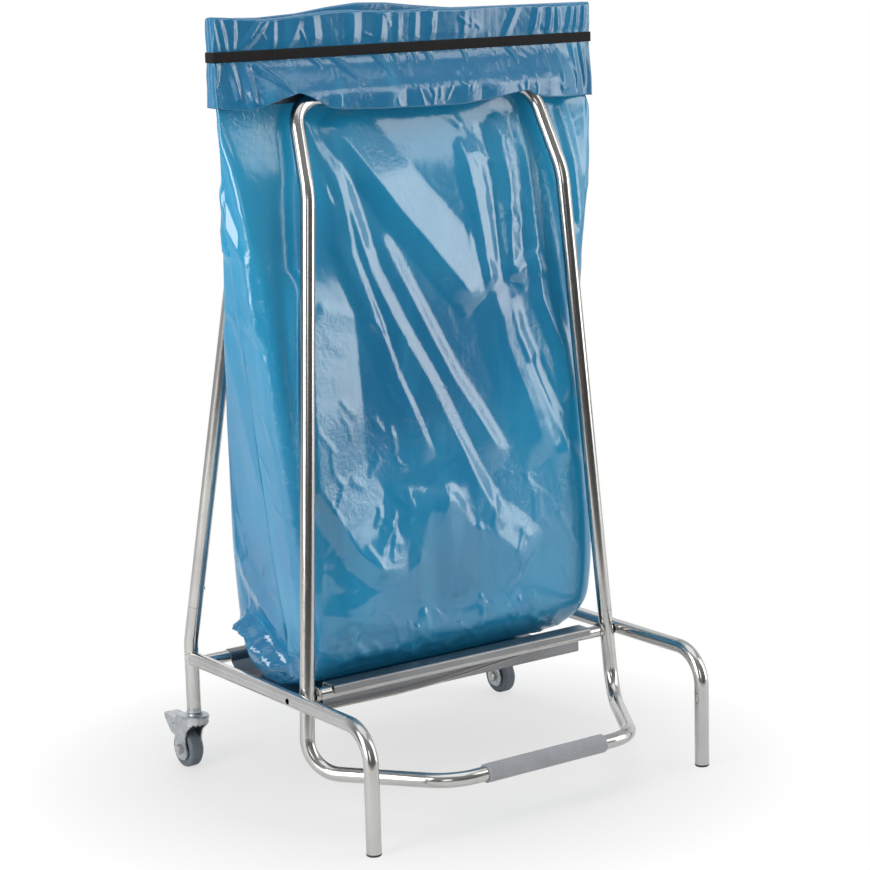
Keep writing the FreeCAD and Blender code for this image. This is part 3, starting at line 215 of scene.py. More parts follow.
def sheet_steel():
    """Satin sheet with a rolled grain along its length."""
    sheet = Finish("sheet_steel", metallic=1.0)
    grain = sheet.noise(1.0, 4.0, 0.6, sheet.stretched((6.0, 700.0, 700.0)))
    cloud = sheet.noise(7.0, 4.0, 0.5)
    tint = sheet.mix(cloud.spread(0.3, 0.7), SHEET, SHEET_DARK)
    rough = 0.26 + grain * 0.16 + cloud * 0.06
    return sheet.set(Base_Color=tint, Roughness=rough, Normal=sheet.bump(grain, 0.10, 0.0003)).material


def drawn_wire():
    """Bright drawn wire, duller in patches."""
    wire = Finish("wire_steel", metallic=1.0)
    cloud = wire.noise(22.0, 4.0, 0.6)
    tint = wire.mix(cloud.spread(0.35, 0.7), WIRE_STEEL, WIRE_DARK)
    return wire.set(Base_Color=tint, Roughness=0.24 + cloud * 0.16).material


def screw_steel():
    """Turned screw heads with the marks of the tool."""
    steel = Finish("screw_steel", metallic=1.0)
    turned = steel.noise(420.0, 2.0, 0.5)
    tint = steel.mix(turned, STEEL, STEEL_DULL)
    return steel.set(Base_Color=tint, Roughness=0.16 + turned * 0.16).material


def zinc_steel():
    """Bright zinc plate with its cloudy crystals and dull spots."""
    zinc = Finish("zinc_steel", metallic=1.0)
    crystals = zinc.node("ShaderNodeTexVoronoi", {"feature": "F1"}, {"Vector": zinc.place(), "Scale": 260.0})
    cloud = zinc.noise(70.0, 5.0, 0.6)
    tint = zinc.mix((cloud * 0.75 + crystals * 0.3).spread(0.35, 0.75), ZINC, ZINC_DARK)
    rough = 0.24 + cloud * 0.20 + crystals * 0.06
    return zinc.set(Base_Color=tint, Roughness=rough, Normal=zinc.bump(cloud, 0.10, 0.0004)).material


def axle_steel():
    """Plain steel of the wheels' axles."""
    steel = Finish("axle_steel", metallic=1.0)
    cloud = steel.noise(150.0, 3.0, 0.5)
    tint = steel.mix(cloud.spread(0.3, 0.7), AXLE, AXLE_DARK)
    return steel.set(Base_Color=tint, Roughness=0.2 + cloud * 0.2).material


# Plastics and rubber

def moulded(name, light, dark, roughness, grain_scale=900.0, grain=0.10):
    """Moulded plastic or rubber: fine spark grain and a slow change of shade."""
    plastic = Finish(name)
    cloud = plastic.noise(28.0, 4.0, 0.55)
    spark = plastic.noise(grain_scale, 2.0, 0.5)
    tint = plastic.mix(cloud.spread(0.3, 0.7), light, dark)
    rough = roughness - 0.06 + cloud * 0.12
    return plastic.set(Base_Color=tint, Roughness=rough, Normal=plastic.bump(spark, grain, 0.0003)).material


BRAID = (0.0050, 0.0042, 0.0042)
BRAID_WORN = (0.0130, 0.0105, 0.0100)
BRAID_RIBS = 7
BRAID_PITCH = 0.0011


def woven_elastic():
    """Flat braid: ribs along the band crossed by fine picks, read from the band's own map."""
    braid = Finish("black_elastic", roughness=0.72, Specular_IOR_Level=0.3)
    map_of_band = braid.node("ShaderNodeUVMap", {"uv_map": "length"})
    split = braid.node("ShaderNodeSeparateXYZ", None, {0: map_of_band})
    along, over = split.part("X"), split.part("Y")
    ribs = (over * (2 * math.pi * BRAID_RIBS)).wave()
    picks = (along * (2 * math.pi / BRAID_PITCH)).wave()
    wear = braid.noise(35.0, 4.0, 0.6)
    tint = braid.mix((wear * 0.6 + picks * 0.3).spread(0.2, 0.8), BRAID, BRAID_WORN)
    relief = braid.bump(ribs * 0.7 + picks * 0.3, 0.55, 0.0005)
    return braid.set(Base_Color=tint, Roughness=0.62 + wear * 0.2, Normal=relief).material


# Film

FILM_DEEP = (0.012, 0.155, 0.318)
FILM_BRIGHT = (0.016, 0.266, 0.485)
FILM_PALE = (0.034, 0.282, 0.475)
# strength of the film's painted glow, standing in for light that comes through it
FILM_GLOW = 0.13


def blue_film(name, crinkle, deep_share, coat):
    """Thin glossy film with fine crinkles over the folds; a faint painted glow of its own colour
    stands in for the light that comes through it."""
    film = Finish(name, Coat_Roughness=0.06, Specular_IOR_Level=0.8, Emission_Strength=FILM_GLOW)
    place = film.place()
    slow = film.noise(2.6, 2.0, 0.45, place)
    streak = film.noise(1.0, 3.0, 0.5, film.stretched((34.0, 34.0, 4.5)))
    tint = film.mix(slow.spread(deep_share, deep_share + 0.24), FILM_DEEP, FILM_BRIGHT)
    tint = film.mix(streak.spread(0.52, 0.78) * 0.5, tint, FILM_PALE)
    patch = film.noise(7.0, 2.0, 0.5, place).spread(0.50, 0.62)
    fine = film.noise(75.0, 4.0, 0.55, place, 1.4)
    broad = film.noise(16.0, 3.0, 0.5, place, 0.8)
    draw = film.noise(1.0, 2.0, 0.5, film.stretched((150.0, 150.0, 12.0)))
    rough = 0.13 + slow * 0.07 + patch * 0.05
    relief = film.bump(broad, 0.22 * crinkle, 0.006)
    relief = film.bump(draw, 0.10 * crinkle, 0.0012, relief)
    relief = film.bump(fine * patch, 0.42 * crinkle, 0.0022, relief)
    # the painted glow takes the film's tint
    return film.set(Base_Color=tint, Roughness=rough, Coat_Weight=coat + patch * 0.15, Emission_Color=tint,
                    Normal=relief).material


# Bag: sections round the bag, read from the photograph through the camera
# height, reach to the left and right, forward reach of front and back, corner radius
BAG_SECTIONS = np.array((
    (0.1280, 0.188, 0.194, 0.122, 0.040, 0.022),
    (0.1400, 0.198, 0.208, 0.168, 0.033, 0.025),
    (0.1550, 0.206, 0.224, 0.201, 0.029, 0.026),
    (0.1900, 0.211, 0.244, 0.227, 0.026, 0.028),
    (0.2500, 0.221, 0.249, 0.230, 0.035, 0.027),
    (0.3200, 0.232, 0.250, 0.229, 0.048, 0.026),
    (0.4000, 0.241, 0.247, 0.226, 0.064, 0.024),
    (0.5000, 0.253, 0.242, 0.223, 0.085, 0.022),
    (0.6000, 0.263, 0.240, 0.216, 0.107, 0.020),
    (0.7000, 0.272, 0.256, 0.208, 0.128, 0.018),
    (0.7600, 0.277, 0.266, 0.203, 0.140, 0.015),
    (0.8000, 0.280, 0.272, 0.197, 0.149, 0.012),
    (0.8400, 0.282, 0.280, 0.182, 0.157, 0.008),
    (0.8600, 0.283, 0.284, 0.174, 0.1604, 0.005),
    (0.8780, 0.287, 0.287, 0.1672, 0.1616, 0.0026),
    (0.9900, 0.288, 0.288, 0.1670, 0.1616, 0.0026),
))
GUSSET_FORWARD = 0.1645
# from the axis of a hoop's arm to the film
ARM_CLEARANCE = 0.0125
BAG_ROWS = 214
BAG_HIDDEN_ROWS = 7
BAG_BOTTOM_ROWS = 7
BAG_SHOWN_TOP = 0.905
BAG_TOP = 0.9895
BAG_EASING_PASSES = 26
# points of a half side, a corner, the panel, a corner and a half side
FRONT_COUNTS = (30, 9, 136, 9, 30)
REAR_COUNTS = (24, 7, 96, 7, 24)
GUSSET_MARGIN = 0.001
FILM_WALL = 0.0004


def smooth_table(heights, table):
    """Values of a table of sections at many heights, eased so that no section shows as a ridge."""
    columns = [np.interp(heights, table[:, 0], table[:, k]) for k in range(1, table.shape[1])]
    out = np.stack(columns)
    for _ in range(BAG_EASING_PASSES):
        out[:, 1:-1] = (out[:, :-2] + 2 * out[:, 1:-1] + out[:, 2:]) / 4
    return out


# share of a fold's length over which each end dies out
FOLD_FADE = 0.13


def fold(x, z, line, height, upper, lower):
    """Height of a fold along a line of (x, z) points: a crest that falls off over the upper width
    on the side of greater X and over the lower width on the other, and dies out at both ends."""
    line = np.asarray(line, float)
    steps = np.hypot(*np.diff(line, axis=0).T)
    reach = np.concatenate(([0.0], np.cumsum(steps)))
    best = np.full(x.shape, np.inf)
    side = np.zeros(x.shape)
    share = np.zeros(x.shape)
    for (ax, az), (bx, bz), step, start in zip(line[:-1], line[1:], steps, reach):
        dx, dz = (bx - ax) / step, (bz - az) / step
        along = np.clip((x - ax) * dx + (z - az) * dz, 0, step)
        gap = np.hypot(x - ax - along * dx, z - az - along * dz)
        nearer = gap < best
        best = np.where(nearer, gap, best)
        turn = (x - ax) * -dz + (z - az) * dx
        side = np.where(nearer, np.sign(turn), side)
        share = np.where(nearer, (start + along) / reach[-1], share)
    width = np.where(side > 0, upper, lower)
    crest = np.clip(1 - best / width, 0, 1)
    ends = np.clip(np.minimum(share, 1 - share) / FOLD_FADE, 0, 1)
    return height * crest * (ends * (2 - ends))


# Folds of the front panel: (x, z) points from top to bottom, height, upper and lower widths, in metres
FRONT_FOLDS = (
    (((-0.141, 0.870), (-0.127, 0.767), (-0.102, 0.677), (-0.067, 0.604), (-0.026, 0.531), (0.011, 0.459),
      (0.048, 0.387), (0.086, 0.318)), 0.0065, 0.018, 0.034),
    (((-0.150, 0.850), (-0.127, 0.699), (-0.095, 0.607), (-0.070, 0.538), (-0.050, 0.495), (-0.020, 0.425)),
     0.0035, 0.009, 0.026),
    (((-0.135, 0.868), (-0.088, 0.795), (-0.056, 0.752), (-0.003, 0.692), (0.047, 0.634), (0.062, 0.614)),
     0.0115, 0.058, 0.026),
    (((-0.084, 0.722), (-0.061, 0.677), (-0.018, 0.592), (0.016, 0.527), (0.057, 0.466), (0.095, 0.405)),
     0.0050, 0.016, 0.036),
    (((0.060, 0.835), (0.064, 0.801), (0.075, 0.725), (0.088, 0.630)), 0.0045, 0.024, 0.012),
    (((0.124, 0.860), (0.127, 0.760), (0.122, 0.690), (0.123, 0.640)), 0.0060, 0.022, 0.016),
    (((0.160, 0.860), (0.162, 0.770), (0.166, 0.690), (0.168, 0.640)), 0.0050, 0.016, 0.022),
    (((0.123, 0.648), (0.147, 0.666), (0.166, 0.676)), 0.0045, 0.010, 0.030),
    (((0.118, 0.620), (0.126, 0.576), (0.158, 0.500), (0.189, 0.435), (0.210, 0.385)), 0.0050, 0.016, 0.036),
    (((0.165, 0.660), (0.170, 0.612), (0.198, 0.545), (0.208, 0.473)), 0.0045, 0.020, 0.016),
    (((0.092, 0.640), (0.105, 0.560), (0.140, 0.470), (0.165, 0.400)), 0.0035, 0.020, 0.040),
    (((-0.206, 0.690), (-0.206, 0.560), (-0.203, 0.411), (-0.176, 0.369), (-0.150, 0.325), (-0.118, 0.296),
      (-0.075, 0.286)), 0.0115, 0.080, 0.024),
    (((-0.018, 0.400), (0.033, 0.329), (0.081, 0.302), (0.130, 0.262)), 0.0085, 0.050, 0.072),
    (((-0.010, 0.390), (-0.002, 0.315), (0.010, 0.235)), 0.0045, 0.040, 0.026),
    (((-0.030, 0.390), (-0.052, 0.295), (-0.104, 0.268), (-0.170, 0.250)), 0.0080, 0.060, 0.068),
    (((-0.200, 0.250), (-0.120, 0.222), (0.015, 0.190), (0.120, 0.205)), 0.0045, 0.030, 0.026),
    (((-0.181, 0.176), (-0.145, 0.186), (-0.078, 0.182), (-0.040, 0.158)), 0.0060, 0.022, 0.014),
    (((-0.165, 0.880), (-0.160, 0.800), (-0.150, 0.720), (-0.118, 0.640), (-0.092, 0.590)),
     0.0040, 0.016, 0.014),
    (((-0.188, 0.640), (-0.150, 0.628), (-0.100, 0.612)), 0.0016, 0.012, 0.022),
    (((0.195, 0.880), (0.205, 0.780), (0.222, 0.690), (0.226, 0.600)), 0.0040, 0.018, 0.014),
    (((0.235, 0.870), (0.238, 0.780), (0.240, 0.700)), 0.0045, 0.016, 0.012),
)
# Shallow hollows of the front panel, in the same form
FRONT_HOLLOWS = (
    (((-0.176, 0.868), (-0.168, 0.832), (-0.156, 0.796), (-0.142, 0.760)), 0.0030, 0.007, 0.008),
    (((0.100, 0.850), (0.104, 0.760), (0.112, 0.665)), 0.0035, 0.010, 0.014),
    (((0.148, 0.540), (0.176, 0.470), (0.196, 0.410)), 0.0030, 0.016, 0.016),
)
# Folds of the rear panel, in the same form
REAR_FOLDS = (
    (((-0.246, 0.870), (-0.214, 0.760), (-0.184, 0.660), (-0.158, 0.520), (-0.140, 0.400)),
     0.0045, 0.026, 0.026),
    (((0.246, 0.870), (0.206, 0.780), (0.180, 0.640), (0.168, 0.470), (0.150, 0.330)),
     0.0045, 0.026, 0.026),
    (((-0.158, 0.870), (-0.120, 0.740), (-0.098, 0.600), (-0.060, 0.480)), 0.0045, 0.026, 0.022),
    (((0.150, 0.870), (0.128, 0.770), (0.092, 0.680), (0.070, 0.560)), 0.0040, 0.020, 0.030),
    (((0.040, 0.870), (0.030, 0.760), (0.042, 0.640), (0.020, 0.500), (0.026, 0.420)), 0.0030, 0.018, 0.024),
    (((-0.070, 0.860), (-0.040, 0.790), (-0.034, 0.720)), 0.0026, 0.014, 0.020),
    (((-0.166, 0.330), (-0.100, 0.290), (-0.030, 0.262), (0.060, 0.268), (0.150, 0.292)),
     0.0060, 0.050, 0.050),
)
# Folds of the left side: points are (forward reach, z)
LEFT_FOLDS = (
    (((0.168, 0.880), (0.170, 0.760), (0.168, 0.560)), 0.0050, 0.016, 0.012),
    (((0.166, 0.880), (0.186, 0.820), (0.200, 0.760), (0.214, 0.690)), 0.0050, 0.014, 0.016),
    (((0.150, 0.800), (0.172, 0.740), (0.192, 0.700), (0.198, 0.600)), 0.0045, 0.012, 0.020),
    (((0.135, 0.780), (0.148, 0.720), (0.162, 0.700)), 0.0035, 0.010, 0.014),
    (((0.120, 0.620), (0.140, 0.520), (0.160, 0.400)), 0.0025, 0.020, 0.030),
    (((0.080, 0.300), (0.130, 0.230), (0.190, 0.180)), 0.0050, 0.030, 0.020),
)
# the ear of the left gusset, folded out over the side rail
LEFT_EAR = (((0.062, 0.214), (0.090, 0.204), (0.116, 0.186), (0.150, 0.160)), 0.0300, 0.014, 0.016)
RIGHT_SHARE = 0.8
# Crumples: seed, count, lowest and highest corner of their field, size, height
FRONT_CRUMPLES = (
    (3, 26, (-0.19, 0.30), (-0.05, 0.62), 0.022, 0.0014),
    (5, 22, (0.06, 0.68), (0.17, 0.86), 0.022, 0.0014),
    (12, 30, (-0.20, 0.16), (0.20, 0.36), 0.030, 0.0012),
)
REAR_CRUMPLES = ((21, 46, (-0.21, 0.16), (0.21, 0.84), 0.034, 0.0016),)
FRONT_SIDE_CRUMPLES = ((31, 26, (0.05, 0.16), (0.22, 0.86), 0.030, 0.0016),)
REAR_SIDE_CRUMPLES = ((37, 26, (0.05, 0.16), (0.22, 0.86), 0.030, 0.0016),)
# the foot of the bag; its field is measured along X plus the forward reach
FOOT_CRUMPLES = ((41, 46, (-0.20, 0.14), (0.40, 0.21), 0.026, 0.0032),)
# mean direction of the crumples and its scatter, in radians
CRUMPLE_ANGLE = -1.25
CRUMPLE_SCATTER = 0.45
CRUMPLE_BEND = 0.15


def crumple(a, z, seed, count, low, high, size, height):
    """Seeded short folds strewn over a panel, each a thin crest in its own direction."""
    chance = np.random.default_rng(seed)
    total = np.zeros(a.shape)
    for _ in range(count):
        x0, z0 = chance.uniform(low[0], high[0]), chance.uniform(low[1], high[1])
        angle = chance.normal(CRUMPLE_ANGLE, CRUMPLE_SCATTER)
        reach = size * chance.uniform(0.5, 1.3)
        dx, dz = math.cos(angle) * reach, math.sin(angle) * reach
        bend = chance.normal(0, CRUMPLE_BEND) * reach
        line = ((x0 - dx, z0 - dz), (x0 + bend, z0 + bend), (x0 + dx, z0 + dz))
        width = size * chance.uniform(0.12, 0.30)
        total += fold(a, z, line, height * chance.uniform(0.4, 1.0), width, width * chance.uniform(0.5, 1.6))
    return total


def rounded_path(corners, radii, counts):
    """Points along a path through corners with round bends; counts give the points of each run and bend."""
    points = []
    start = corners[0]
    for k in range(1, len(corners) - 1):
        before, corner, after = corners[k - 1], corners[k], corners[k + 1]
        into = (before - corner) / np.linalg.norm(before - corner, axis=0)
        out = (after - corner) / np.linalg.norm(after - corner, axis=0)
        a = corner + into * radii[k - 1]
        share = np.linspace(0, 1, counts[2 * k - 2], endpoint=False)
        points += [start + (a - start) * t for t in share]
        for t in np.linspace(0, 1, counts[2 * k - 1], endpoint=False):
            turn = t * math.pi / 2
            points.append(corner + (into * (1 - math.sin(turn)) + out * (1 - math.cos(turn))) * radii[k - 1])
        start = corner + out * radii[k - 1]
    points += [start + (corners[-1] - start) * t for t in np.linspace(0, 1, counts[-1])]
    return np.stack(points, axis=-1)


def bag_half(front):
    """Grid of one half of the bag, from gusset to gusset: X, forward, Z, each rows by columns."""
    shown = np.linspace(BAG_SECTIONS[0, 0], BAG_SHOWN_TOP, BAG_ROWS)
    heights = np.concatenate((shown, np.linspace(BAG_SHOWN_TOP, BAG_TOP, BAG_HIDDEN_ROWS + 1)[1:]))
    left, right, fore, back, radius = smooth_table(heights, BAG_SECTIONS)
    corner = radius + GUSSET_MARGIN
    gusset = np.clip(GUSSET_FORWARD, back + corner, fore - corner)
    edge = fore if front else back
    corners = [np.stack(pair) for pair in ((-left, gusset), (-left, edge), (right, edge), (right, gusset))]
    x, forward = rounded_path(corners, (radius, radius), FRONT_COUNTS if front else REAR_COUNTS)
    z = np.repeat(heights[:, None], x.shape[1], axis=1)
    return x, forward, z, gusset


def grid_normals(x, y, z):
    """Normals of a grid of points, all on the same side of it."""
    points = np.stack((x, y, z))
    normal = np.cross(np.gradient(points, axis=2), np.gradient(points, axis=1), axis=0)
    return normal / np.maximum(np.linalg.norm(normal, axis=0), TINY)


def grid_mesh(name, x, y, z, closed=False, turned=False):
    """Mesh object of a grid of points."""
    rows, columns = x.shape
    points = np.stack((x, y, z), axis=-1).reshape(-1, 3)
    last = columns if closed else columns - 1
    faces = []
    for r in range(rows - 1):
        for c in range(last):
            d = (c + 1) % columns
            quad = (r * columns + c, r * columns + d, (r + 1) * columns + d, (r + 1) * columns + c)
            faces.append(quad[::-1] if turned else quad)
    mesh = bpy.data.meshes.new(name)
    mesh.from_pydata(points.tolist(), [], faces)
    mesh.polygons.foreach_set("use_smooth", [True] * len(mesh.polygons))
    mesh.update()
    piece = bpy.data.objects.new(name, mesh)
    bpy.context.scene.collection.objects.link(piece)
    return piece


def apply_modifiers(piece):
    """Applies a piece's modifiers with the piece alone selected."""
    bpy.ops.object.select_all(action="DESELECT")
    piece.select_set(True)
    bpy.context.view_layer.objects.active = piece
    for modifier in list(piece.modifiers):
        bpy.ops.object.modifier_apply(modifier=modifier.name)
    piece.select_set(False)


def thicken(piece):
    """Gives the film its wall, inwards."""
    solid = piece.modifiers.new("wall", "SOLIDIFY")
    solid.thickness = FILM_WALL
    solid.offset = -1.0
    apply_modifiers(piece)


def finished(piece, material):
    """Gives a piece its material, as its only slot."""
    piece.data.materials.clear()
    piece.data.materials.append(material)
    return piece


def relief_of(a, z, folds, crumples, hollows=()):
    """Folds, hollows and crumples of a panel, out from its plain surface."""
    total = np.zeros(a.shape)
    for line, height, upper, lower in folds:
        total += fold(a, z, line, height, upper, lower)
    for line, height, upper, lower in hollows:
        total -= fold(a, z, line, height, upper, lower)
    for row in crumples:
        total += crumple(a, z, *row)
    return total


# foot and top of the axis of a hoop's arm: reach to the side, forward, height
FRONT_ARM = ((0.2425, 0.252, 0.155), (0.1985, 0.226, 0.782))
REAR_ARM = ((0.2630, 0.000, 0.176), (0.2260, 0.150, 0.894))
# from here up the panel passes between the arms
ARM_TOP = 0.80


def clear_of_arms(x, forward, z, front):
    """Forward reach held off the hoop's arms that the panel hangs behind or before."""
    (foot_x, foot_forward, foot_z), (top_x, top_forward, top_z) = FRONT_ARM if front else REAR_ARM
    share = (z - foot_z) / (top_z - foot_z)
    arm_x = foot_x + (top_x - foot_x) * share
    arm_forward = foot_forward + (top_forward - foot_forward) * share
    gap = np.sqrt(np.clip(ARM_CLEARANCE ** 2 - (np.abs(x) - arm_x) ** 2, 0, None))
    beside = (gap > 0) & (z < ARM_TOP)
    held = np.minimum(forward, arm_forward - gap) if front else np.maximum(forward, arm_forward + gap)
    return np.where(beside, held, forward)


def facing(component):
    """1 where a surface faces along an axis, falling to 0 where it has turned away from it."""
    return np.clip(np.abs(component) * 1.6 - 0.6, 0, 1)


# the relief dies out towards the jaws, the bottom and the seams between the halves
RELIEF_TOP = 0.889
RELIEF_FOOT = 0.128
RELIEF_EASE = 0.020
SEAM_EASE = 0.006
# share of the relief that also lifts a point
RELIEF_LIFT = 0.4
BOTTOM_DROP = 0.0002


def bag_piece(name, front, material):
    """One half of the bag with its folds, its bottom drawn in to the middle seam."""
    x, forward, z, gusset = bag_half(front)
    y = behind(forward)
    normal = grid_normals(x, y, z)
    if (normal[1] * (-1 if front else 1)).mean() < 0:
        normal = -normal
    if front:
        panel = relief_of(x, z, FRONT_FOLDS, FRONT_CRUMPLES, FRONT_HOLLOWS)
    else:
        panel = relief_of(x, z, REAR_FOLDS, REAR_CRUMPLES)
    side = facing(normal[0])
    share = np.where(x < 0, 1.0, RIGHT_SHARE)
    relief = facing(normal[1]) * panel
    relief += side * share * relief_of(forward, z, LEFT_FOLDS, ())
    relief += side * (x < 0) * fold(forward, z, *LEFT_EAR)
    relief += side * relief_of(forward, z, (), FRONT_SIDE_CRUMPLES if front else REAR_SIDE_CRUMPLES)
    relief += relief_of(x + forward, z, (), FOOT_CRUMPLES)
    hold = np.clip((RELIEF_TOP - z) / RELIEF_EASE, 0, 1) * np.clip((z - RELIEF_FOOT) / RELIEF_EASE, 0, 1)
    relief *= hold * np.clip(np.abs(forward - gusset[:, None]) / SEAM_EASE, 0, 1)
    x, y, z = x + normal[0] * relief, y + normal[1] * relief, z + normal[2] * relief * RELIEF_LIFT
    y = behind(clear_of_arms(x, REAR_LEG_Y - y, z, front))
    inward = np.linspace(0, 1, BAG_BOTTOM_ROWS + 1)[1:][::-1, None]
    bottom_x = np.repeat(x[:1], BAG_BOTTOM_ROWS, axis=0)
    bottom_y = y[:1] + (behind(gusset[0]) - y[:1]) * inward
    bottom_z = np.repeat(z[:1], BAG_BOTTOM_ROWS, axis=0) - BOTTOM_DROP
    x, y, z = (np.concatenate(pair) for pair in ((bottom_x, x), (bottom_y, y), (bottom_z, z)))
    piece = grid_mesh(name, x, y, z, turned=not front)
    thicken(piece)
    return finished(piece, material)


# Collar: the mouth of the bag turned down over the jaws
COLLAR_HALF_LENGTH = 0.2915
COLLAR_COLUMNS = 340
COLLAR_ROWS = 66
COLLAR_END_COLUMNS = 15
# X and height along the fold over the front jaw, and along the front hem
COLLAR_TOP = ((-0.300, 1.0000), (-0.272, 0.9980), (-0.221, 0.9940), (-0.187, 0.9955), (-0.165, 0.9975),
              (-0.121, 1.0010), (-0.098, 1.0010), (-0.046, 0.9985), (-0.023, 0.9975), (0.032, 0.9985),
              (0.071, 0.9965), (0.144, 0.9970), (0.260, 0.9960), (0.300, 0.9965))
COLLAR_HEM = ((-0.300, 0.8900), (-0.275, 0.8870), (-0.255, 0.8850), (-0.232, 0.8900), (-0.214, 0.8960),
              (-0.205, 0.8980), (-0.184, 0.9035), (-0.166, 0.8960), (-0.143, 0.8830), (-0.116, 0.8790),
              (-0.063, 0.8770), (0.000, 0.8755), (0.062, 0.8750), (0.100, 0.8780), (0.127, 0.8820),
              (0.150, 0.8850), (0.168, 0.8870), (0.184, 0.8790), (0.201, 0.8760), (0.240, 0.8745),
              (0.300, 0.8730))
# the rear lip stands higher left of the middle
REAR_TOP = ((-0.300, 0.9985), (-0.221, 0.9960), (-0.165, 0.9990), (-0.120, 1.0050), (-0.075, 1.0090),
            (-0.030, 1.0075), (0.010, 1.0030), (0.071, 0.9975), (0.144, 0.9970), (0.300, 0.9965))
REAR_HEM = ((-0.300, 0.8900), (-0.220, 0.8880), (-0.120, 0.8830), (0.000, 0.8860), (0.110, 0.8820),
            (0.210, 0.8850), (0.300, 0.8730))
BAND_LOW = 0.9442
BAND_HIGH = 0.9570
# the film inside the jaws starts at this height
MOUTH_FOOT = 0.986
# rise of the film over the jaw's edge
LIP_RISE = 0.0012
# shares of the strip that stand inside the jaw and reach to the outer side of the fold
INNER_SHARE = 0.08
FOLD_SHARE = 0.14
# forward reach inside the jaw, outside it, and of the axis of the hoop's bar
FRONT_REACH = (0.1668, 0.1712, 0.1790)
REAR_REACH = (0.1620, 0.1558, 0.1500)
# from the axis of the bar to the film that hangs over it
BAR_CLEARANCE = 0.0153
# the hoop's corners lie between these reaches to the side; beyond them the skirt keeps this share
HOOP_CORNERS = (0.205, 0.285)
SKIRT_SHARE = 0.12
# drops below the band between which the skirt flares, and between which its waves grow
SKIRT_FLARE = (-0.003, 0.051)
LOOSE = (0.012, 0.060)
# height, pitch and phase of the waves, and the least height that they stand on
SKIRT_WAVES = ((0.0014, 31, 0.6), (0.0009, 73, 2.0))
SKIRT_RISE = 0.001
# the film puffs out above the band within this height, now more and now less along X
PUFF = 0.0016
PUFF_EASE = 0.012
PUFF_PITCH = 31
# the film lies flat this near to the middle of the band
BAND_GRIP = 0.008
FRONT_COLLAR_CRUMPLES = (51, 60, (-0.29, 0.88), (0.29, 0.99), 0.014, 0.0012)
REAR_COLLAR_CRUMPLES = (57, 60, (-0.29, 0.88), (0.29, 0.99), 0.014, 0.0012)
END_BULGE = 0.0012
# height and pitch of the gathers of the ends, and by how much and at what pitch they sway going up
END_RIPPLE = (0.0006, 900, 1.4, 70)
# X of each pleat's foot at the band, X at its head, height and half width, above the band
TOP_PLEATS = (
    (-0.286, -0.293, 0.0020, 0.006), (-0.274, -0.283, 0.0024, 0.006), (-0.264, -0.262, 0.0020, 0.006),
    (-0.254, -0.222, 0.0034, 0.008), (-0.246, -0.212, 0.0026, 0.007), (-0.207, -0.205, 0.0018, 0.006),
    (-0.185, -0.165, 0.0016, 0.012), (-0.146, -0.149, 0.0026, 0.012), (-0.089, -0.086, 0.0026, 0.012),
    (-0.048, -0.043, 0.0026, 0.011), (-0.021, -0.018, 0.0014, 0.007), (0.004, 0.008, 0.0020, 0.008),
    (0.030, 0.035, 0.0022, 0.008), (0.083, 0.086, 0.0010, 0.007), (0.150, 0.172, 0.0020, 0.009),
    (0.196, 0.206, 0.0026, 0.008), (0.222, 0.228, 0.0024, 0.007), (0.238, 0.236, 0.0024, 0.006),
    (0.254, 0.262, 0.0026, 0.006), (0.266, 0.270, 0.0024, 0.005), (0.279, 0.284, 0.0022, 0.005),
)
# the same below the band, where the head is the pleat's lower end, and how far it drops
SKIRT_PLEATS = (
    (-0.288, -0.292, 0.0030, 0.008, 0.030), (-0.268, -0.262, 0.0034, 0.010, 0.050),
    (-0.250, -0.246, 0.0050, 0.012, 0.060), (-0.240, -0.192, 0.0050, 0.013, 0.040),
    (-0.150, -0.138, 0.0018, 0.008, 0.014),
    (-0.118, -0.085, 0.0030, 0.010, 0.036), (-0.056, -0.036, 0.0028, 0.008, 0.030),
    (-0.026, -0.024, 0.0016, 0.005, 0.014), (0.004, 0.006, 0.0014, 0.005, 0.014),
    (0.026, 0.028, 0.0018, 0.006, 0.024), (0.082, 0.084, 0.0016, 0.005, 0.018),
    (0.154, 0.166, 0.0028, 0.008, 0.022), (0.208, 0.210, 0.0020, 0.008, 0.040),
    (0.232, 0.230, 0.0030, 0.009, 0.070), (0.262, 0.264, 0.0034, 0.009, 0.070),
    (0.276, 0.280, 0.0030, 0.007, 0.060),
)
TABLE_STEPS = 301
TABLE_EASING_PASSES = 4


def soft(values, low, high):
    """0 below low, 1 above high, with a gentle start and end."""
    t = np.clip((values - low) / (high - low), 0, 1)
    return t * t * (3 - 2 * t)


def table_at(x, table):
    """Rounded reading of a table of (x, value)."""
    places, readings = np.array(table).T
    fine = np.linspace(places[0], places[-1], TABLE_STEPS)
    values = np.interp(fine, places, readings)
    for _ in range(TABLE_EASING_PASSES):
        values[1:-1] = (values[:-2] + 2 * values[1:-1] + values[2:]) / 4
    return np.interp(x, fine, values)


def pleats(x, z, top):
    """Relief of the gathers above and below the band."""
    total = np.zeros(np.broadcast(x, z).shape)
    above = np.clip((z - BAND_HIGH) / (top - BAND_HIGH), 0, 1)
    for foot, head, height, width in TOP_PLEATS:
        middle = foot + (head - foot) * above
        rise = np.sin(above * math.pi) ** 0.7 * (z > BAND_HIGH)
        total += rise * height * np.clip(1 - np.abs(x - middle) / width, 0, 1)
    for foot, head, height, width, drop in SKIRT_PLEATS:
        below = np.clip((BAND_LOW - z) / drop, 0, 1)
        middle = foot + (head - foot) * below
        spread = width * (1 - 0.6 * below)
        rise = np.sin(below * math.pi) ** 0.6 * (z < BAND_LOW)
        total += rise * height * np.clip(1 - np.abs(x - middle) / spread, 0, 1)
    return total


